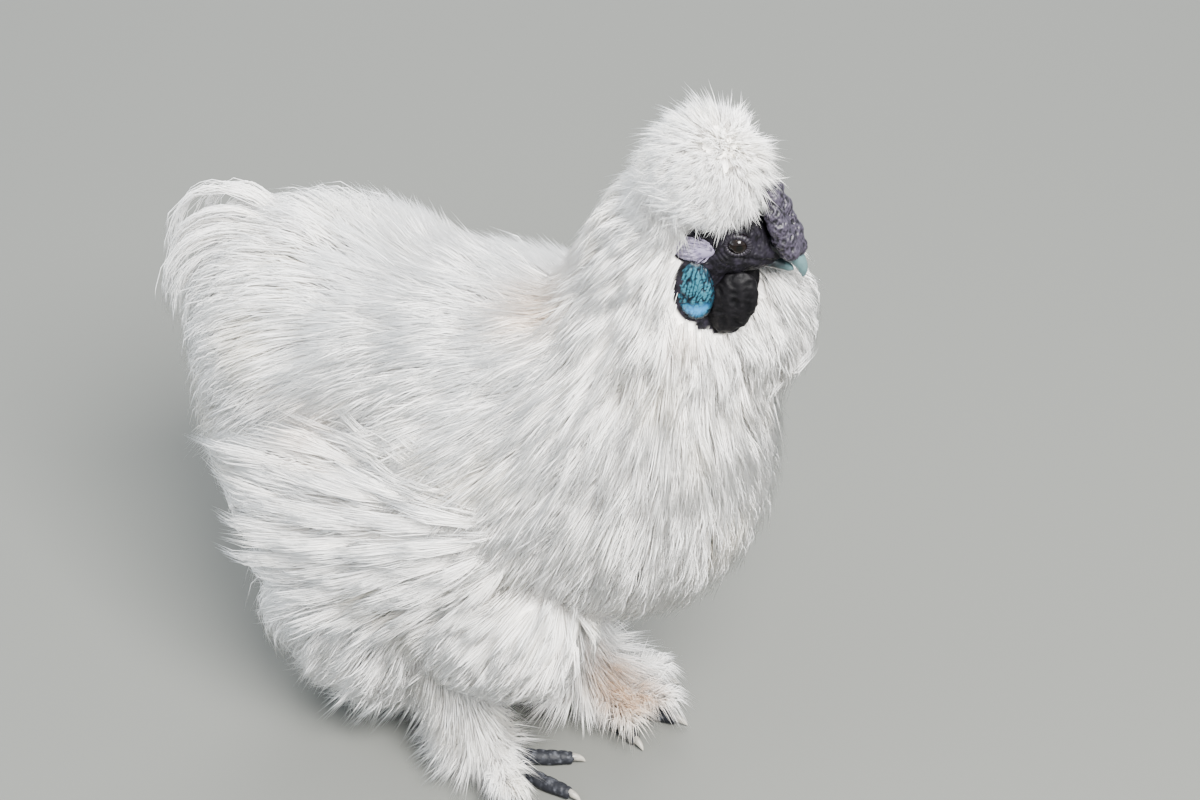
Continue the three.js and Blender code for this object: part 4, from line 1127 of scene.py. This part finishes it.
def lobeRings(name, side, rows=72, around=96):
    sizes = lobes[name]
    field = ellipsoid(sizes, side, True)
    middle = onHead(np.array(sizes["at"]) * (1, side, 1))
    rings, poles = blob(middle, field, rows, around, 40, headTurn[:, 2], headTurn[:, 0])
    points, quads, fans = closeRings(rings, poles)
    return field, points, quads, fans


# Wattle: a thick black lobe with shallow folds down it, sin(2 pi (0.9 x + 0.25 z) / 5), and a fine crinkle
def wattlePiece(name, side):
    field, points, quads, fans = lobeRings("wattle", side)
    q = fromHead(points)
    _, out = slopeOf(field, points)
    folds = -np.sin((q[:, 0] * 0.9 + q[:, 2] * 0.25) / lobes["wattle"]["folds"] * 2 * math.pi)
    relief = 0.16 * folds + 0.5 * (1 - np.abs(lumps(points, 5.5, 31))) + 0.14 * lumps(points, 2.2, 33)
    points = points + out * (relief - 0.2)[:, None]
    # The height value makes the hide lighter on the tops of the folds and crinkles and darker in the
    # hollows: painted highlight and painted shade
    height = smooth(relief, -0.3, 0.7)
    return newObject("wattleLobe_" + name, points, [quads, fans], None, {"height": height})


# Earlobe: turquoise and creased, with ridges that branch down it; painted highlight on the ridges, and dark
# navy painted shade in the creases, round the rim and where it tucks under
def earlobePiece(name, side):
    field, points, quads, fans = lobeRings("earlobe", side)
    q = fromHead(points)
    _, out = slopeOf(field, points)
    stretched = np.stack([points[:, 0], points[:, 1], points[:, 2] * 0.55], -1)
    creases = np.abs(lumps(stretched, 2.8, 41))
    relief = 0.45 * (1 - np.exp(-(creases / 0.22) ** 2)) + 0.12 * lumps(points, 1.5, 43)
    points = points + out * (relief - 0.3)[:, None]
    middle = np.array(lobes["earlobe"]["at"], float)
    local = (q - middle * (1, side, 1)) @ turnY(-lobes["earlobe"]["tip"])
    edge = np.linalg.norm(local[:, [0, 2]] / np.array([8.4, 14.5]), axis=-1)
    outer = smooth(local[:, 1] * side, -0.4, 1.6)
    # Painted light: lighter on the ridges of the outer face, with painted shade round the rim and on the
    # inner side
    paintedLight = np.clip(relief / 0.5, 0, 1) * outer * (1 - 0.75 * smooth(edge, 0.72, 1.0))
    low = smooth(-local[:, 2], 4.0, 9.5) * smooth(-edge, -0.9, -0.6) * outer
    return newObject("earlobeSkin_" + name, points, [quads, fans], None, {"paintedLight": paintedLight, "low": low})


# Blue-green skin of the lobe: teal, with painted highlight in light turquoise on the ridges and painted
# shade in navy in the creases and round the rim, and a clear sky blue at the lower end. Moist satin.
def earlobeMaterial():
    made, tree, shader = newMaterial("turquoise lobe skin", {"Roughness": 0.42, "Specular IOR Level": 0.2})
    grain = noise(tree, objectPlace(tree), 900.0, 4.0)
    share = maths(tree, "ADD", pointValue(tree, "paintedLight"), ramp(tree, grain, 0.3, 0.7, -0.2, 0.2), True)
    colour = mixed(tree, ramp(tree, share, 0.0, 0.45), fromHex("#02040B"), fromHex("#0A242F"))
    colour = mixed(tree, ramp(tree, share, 0.45, 1.1), colour, fromHex("#285966"))
    colour = mixed(tree, pointValue(tree, "low"), colour, fromHex("#2E78AC"))
    tree.links.new(colour, shader.inputs["Base Color"])
    bumped(tree, shader, grain, 0.5, 0.0003)
    return made


# Near-black hide, lighter where the height value is high: painted highlight on the wattles' relief
wattleLook = mottledMaterial("black wattle hide", "#020203", "#0B0A0C", "height", 0.55, 1.1, 0.25, 0.2,
                             specular=0.1)
lobeLook = earlobeMaterial()
for name, side in sides.items():
    finishPiece(wattlePiece(name, side), wattleLook, ["wattle_" + name])
    finishPiece(earlobePiece(name, side), lobeLook, ["earlobe_" + name])


# Ear tufts: short silvery feathers that lie back over the ear hole
def earTuftPiece(name, side):
    rng = np.random.default_rng(101 + side)
    field, points, quads, fans = lobeRings("earTuft", side, 24, 36)
    roots = points[rng.integers(0, len(points), 150)]
    back = headTurn @ np.array([-1.0, 0, -0.15])
    tuftField = lambda p: field(p) + 1.6
    inner = roots - slopeOf(field, roots)[1] * 1.8
    length = rng.uniform(5, 8, len(inner))
    level = rng.uniform(1.2, 2.2, len(inner))
    swing = rng.normal(0, 0.1, len(inner))
    places, facing = layGuides(inner, tuftField, lambda p: np.zeros_like(p) + back, length, level, swing,
                               steps=4, sunk=0.6)
    look = {"strands": 6, "width": 0.42, "aside": 0.7, "stand": 0.3, "start": 0.1, "end": (0.8, 1.05),
            "root": 0.4, "gather": 0.35, "wave": 0.15, "wild": 0.02}
    flat, triangles, uv, marks = growStrands(places, facing, nearestUv(inner), look, rng)
    bed = points - slopeOf(field, points)[1] * 1.5
    bedFaces = np.concatenate([quads[:, [0, 1, 2]], quads[:, [0, 2, 3]], fans])
    bedMarks = np.tile([0.5, 0.3, 0.0, 1.0], (len(bed), 1))
    faces = np.concatenate([bedFaces, triangles + len(bed)])
    uv = np.concatenate([nearestUv(bed), uv])
    return newObject("earTuft_" + name + "_silver", np.concatenate([bed, flat]), [faces], uv,
                     {"strand": np.concatenate([bedMarks, marks])})


# Lilac-white ear feathers: finer and closer than the hackle, cool where the dark skin shows through
def earTuftMaterial():
    made, tree, shader = newMaterial("lilac-white ear feathers", {"Roughness": 0.5})
    marks = addNode(tree, "ShaderNodeAttribute", {"attribute_name": "strand"}).outputs["Color"]
    split = addNode(tree, "ShaderNodeSeparateColor", {}, {0: marks})
    colour = mixed(tree, split.outputs[1], fromHex("#4E4761"), fromHex("#A49CB2"))
    tree.links.new(colour, shader.inputs["Base Color"])
    return made


tuftLook = earTuftMaterial()
for name, side in sides.items():
    finishPiece(earTuftPiece(name, side), tuftLook, ["ear_tuft_" + name])

# Bill

billSizes = {
    # ahead, up, half width and half height, from the root to the tip
    "upper": [(4, -1, 5.2, 4.6), (10, -1.1, 5.6, 5.1), (17, -1.6, 5.4, 5.2), (23, -2.8, 4.8, 4.7),
              (28, -4.9, 4.1, 4.0), (31.8, -8.2, 3.1, 3.1), (34, -11.8, 2.0, 2.2), (35, -14.9, 0.5, 0.6)],
    "lower": [(5, -9, 4.6, 3.3), (10, -9.2, 5.0, 3.6), (16, -9.5, 4.7, 3.4), (21, -10.0, 4.1, 3.0),
              (25.5, -11.0, 3.0, 2.3), (28.6, -11.9, 1.9, 1.6), (30.3, -12.5, 0.5, 0.4)],
    # at, reach and height of the nostril's pit and of the lid over it
    "nostril": [((20.5, 5.0, 0.6), (2.2, 2.0, 0.9), -1.3), ((20.5, 4.6, 2.4), (2.6, 2.0, 0.9), 0.55)],
}


# The half tube is flattened a little below, by 0.1 at the bottom
def billShape(along, angle):
    return 1 - 0.1 * smooth(np.abs(np.sin(angle)), 0.6, 1) * (np.sin(angle) < 0)


def billPiece(name, key, rows, around):
    stations = np.insert(np.array(billSizes[key], float), 1, 0, axis=1)
    stations[:, :3] = onHead(stations[:, :3])
    path = pathThrough(stations, rows)
    path[:, 3:] = np.maximum(path[:, 3:], 0.25)
    rings = tubeRings(path, np.broadcast_to(headTurn[:, 1], (rows, 3)), around, billShape)
    points, quads, fans = closeRings(rings)
    q = fromHead(points)
    x = q[:, 0]
    if key == "upper":
        sideless = np.abs(q * (0, 1, 0)) + q * (1, 0, 1)
        out = sum(height * np.exp(-(((sideless - at) / reach) ** 2).sum(-1))
                  for at, reach, height in billSizes["nostril"])
        q[:, 1] += np.sign(q[:, 1]) * out
        points = onHead(q)
    growth = 0.5 + 0.5 * np.sin(x * 2 * math.pi / 2.3)
    pale = np.clip(smooth(x, 22, 31) - 0.05 * growth, 0, 1)
    return newObject(name, points, [quads, fans], None, {"pale": pale})


billLook = mottledMaterial("slate and pale blue horn", "#0A0B0E", "#465D5F", "pale", 0.34, 2.2, 0.05, 0.12,
                           0.2)
finishPiece(billPiece("billUpper", "upper", 72, 48), billLook, ["beak_upper"])
finishPiece(billPiece("billLower", "lower", 60, 40), billLook, ["beak_lower"])

# Eyes, with a ring of wrinkled lid round each

# Dark brown, almost black eye under a wet cornea
def eyeMaterial():
    made, tree, shader = newMaterial("wet dark eye", {"Roughness": 0.07, "IOR": 1.376})  # cornea
    off = pointValue(tree, "iris")
    colour = mixed(tree, ramp(tree, off, 0.25, 0.35), fromHex("#010101"), fromHex("#0B0503"))
    colour = mixed(tree, ramp(tree, off, 0.8, 0.95), colour, fromHex("#0A0708"))
    tree.links.new(colour, shader.inputs["Base Color"])
    return made


def eyePiece(name, side):
    middle = onHead(np.array(eye["at"]) * (1, side, 1))
    look = headTurn @ unit(np.array([0.18, side, 0.04]))
    cornea = lambda p: np.linalg.norm(p - middle, axis=-1) - eye["radius"] - 0.35 * smooth(
        (unit(p - middle) * look).sum(-1), 0.75, 0.95)
    rings, poles = blob(middle, cornea, 40, 56, 14, look, headTurn[:, 2])
    points, quads, fans = closeRings(rings, poles)
    off = np.arccos(np.clip((unit(points - middle) * look).sum(-1), -1, 1)) / math.radians(50)
    made = newObject("eyeBall_" + name, points, [quads, fans], None, {"iris": np.clip(off, 0, 1)})
    finishPiece(made, eyeLook, ["eye_" + name])


# Lid: a ring, thicker above, with wrinkles across it: half as thick as 2.3 + 0.5 sin(a) + 0.2 sin(23 a)
def lidPiece(name, side):
    middle = np.array(eye["at"], float) * (1, side, 1) + np.array([0, 3.3 * side, 0])
    around, tube = 120, 16
    a = np.arange(around)[:, None] / around * 2 * math.pi
    b = np.arange(tube)[None, :] / tube * 2 * math.pi
    thick = 1.15 + 0.25 * np.sin(a) + 0.1 * np.sin(a * 23)
    reach = 4.55 + thick * np.cos(b)
    x = reach * np.cos(a) * 1.12
    z = reach * np.sin(a) * 0.92
    y = thick * np.sin(b) * 0.8 - 0.025 * x**2
    ring = middle + np.stack([x, y * side, z], -1)
    row, column = np.meshgrid(np.arange(around), np.arange(tube), indexing="ij")
    nextRow, nextColumn = (row + 1) % around, (column + 1) % tube
    quads = np.stack([row * tube + column, row * tube + nextColumn, nextRow * tube + nextColumn,
                      nextRow * tube + column], -1).reshape(-1, 4)
    if side > 0:
        quads = quads[:, ::-1]
    # The height value makes the lid lighter on the crests of its wrinkles and darker between them: painted
    # highlight and painted shade
    height = np.broadcast_to(0.5 + 0.5 * np.sin(a * 23), (around, tube)).ravel()
    made = newObject("lidRing_" + name, onHead(ring.reshape(-1, 3)), [quads], None, {"height": height})
    finishPiece(made, lidLook)


eyeLook = eyeMaterial()
# Lid skin, lighter where the height value is high: painted highlight on the wrinkles' crests
lidLook = mottledMaterial("crinkled lid skin", "#0A080C", "#1E1A22", "height", 0.5, 0.8, 0.1, 0.25)
for name, side in sides.items():
    eyePiece(name, side)
    lidPiece(name, side)

# Claws

clawLook = mottledMaterial("grey claw horn", "#4B4A48", "#A39E93", "pale", 0.34, 1.6, 0.05, 0.15)


def clawPiece(name, side):
    leg = legs[name]
    rows, around = 22, 16
    pieces = []
    for heading, length, rise in toeSizes["toes"]:
        reach = toeSizes["padReach"] + length
        line = toeLine(leg, side, heading, rise,
                       [(reach - 3, rise), (reach + 2, rise * 1.03 + 0.3), (reach + 5.5, rise * 1.07 - 0.8),
                        (reach + 7.6, rise * 1.1 - 2.5)])
        radii = [(1.7, 1.9), (1.8, 2.0), (1.2, 1.4), (0.2, 0.25)]
        stations = [(*p, *size) for p, size in zip(line, radii)]
        pieces.append(closeRings(legTube(stations, toeAside(leg, side, heading), rows, around)))
    points, faces = gathered(pieces)
    pale = np.tile(np.append(np.repeat(np.linspace(0, 1, rows), around), [0, 1]), len(pieces))
    made = newObject("claws_" + name, points, faces, None, {"pale": pale})
    finishPiece(made, clawLook, [f"claw_{name}{i}" for i in range(1, 6)])


for name, side in sides.items():
    clawPiece(name, side)
print("head and feet done")

# Floor, light and camera

stageSizes = {
    "camera": {"azimuth": 28, "elevation": 34, "distance": 1250, "width": 24, "target": (43, 0, 197)},
    "floor": {"half": 6.0, "colour": "#565753"},
    # place, what it looks at, width, watts and tint, in metres
    "lights": {
        "key": ((1.1, -0.9, 1.7), (0, 0, 0.16), 0.9, 270, (1.0, 0.985, 0.96)),
        "fill": ((-1.5, -1.1, 0.9), (0, 0, 0.16), 1.6, 36, (0.82, 0.91, 1.0)),
        "rim": ((-0.7, 1.5, 1.3), (0, 0, 0.2), 1.0, 60, (1.0, 1.0, 1.0)),
    },
    "sky": {"tint": (0.86, 0.92, 1.0, 1), "strength": 1.7},
}


def placed(name, data, at, ahead):
    made = bpy.data.objects.new(name, data)
    bpy.context.scene.collection.objects.link(made)
    made.location = at
    made.rotation_euler = ahead.to_track_quat("-Z", "Y").to_euler()
    return made


def studioFloor():
    mesh = bpy.data.meshes.new("studioFloor")
    half = stageSizes["floor"]["half"]
    mesh.from_pydata([(-half, -half, 0), (half, -half, 0), (half, half, 0), (-half, half, 0)], [],
                     [(0, 1, 2, 3)])
    made = bpy.data.objects.new("studioFloor", mesh)
    bpy.context.scene.collection.objects.link(made)
    tint = fromHex(stageSizes["floor"]["colour"])
    made.data.materials.append(newMaterial("matt paper floor", {"Base Color": tint, "Roughness": 0.95})[0])


def studioLights():
    for name, (at, aim, size, power, tint) in stageSizes["lights"].items():
        data = bpy.data.lights.new(name, "AREA")
        data.size = size
        data.energy = power
        data.color = tint
        placed(name, data, at, Vector(aim) - Vector(at))
    world = bpy.data.worlds.new("studio")
    world.use_nodes = True
    sky = world.node_tree.nodes["Background"].inputs
    sky["Color"].default_value = stageSizes["sky"]["tint"]
    sky["Strength"].default_value = stageSizes["sky"]["strength"]
    bpy.context.scene.world = world


def studioCamera():
    view = stageSizes["camera"]
    ahead, aside = wayOf(view["azimuth"])
    level, up = wayOf(view["elevation"])
    target = Vector(toMetres(np.array(view["target"], float)))
    back = Vector((aside * level, -ahead * level, up))
    data = bpy.data.cameras.new("camera")
    data.sensor_width = 36
    data.lens = 18 / math.tan(math.radians(view["width"] / 2))
    bpy.context.scene.camera = placed("camera", data, target + back * view["distance"] * 0.001, -back)


studioFloor()
studioLights()
bpy.context.scene.cycles.debug_use_spatial_splits = True  # sorts thin strands closer: same picture, sooner
studioCamera()
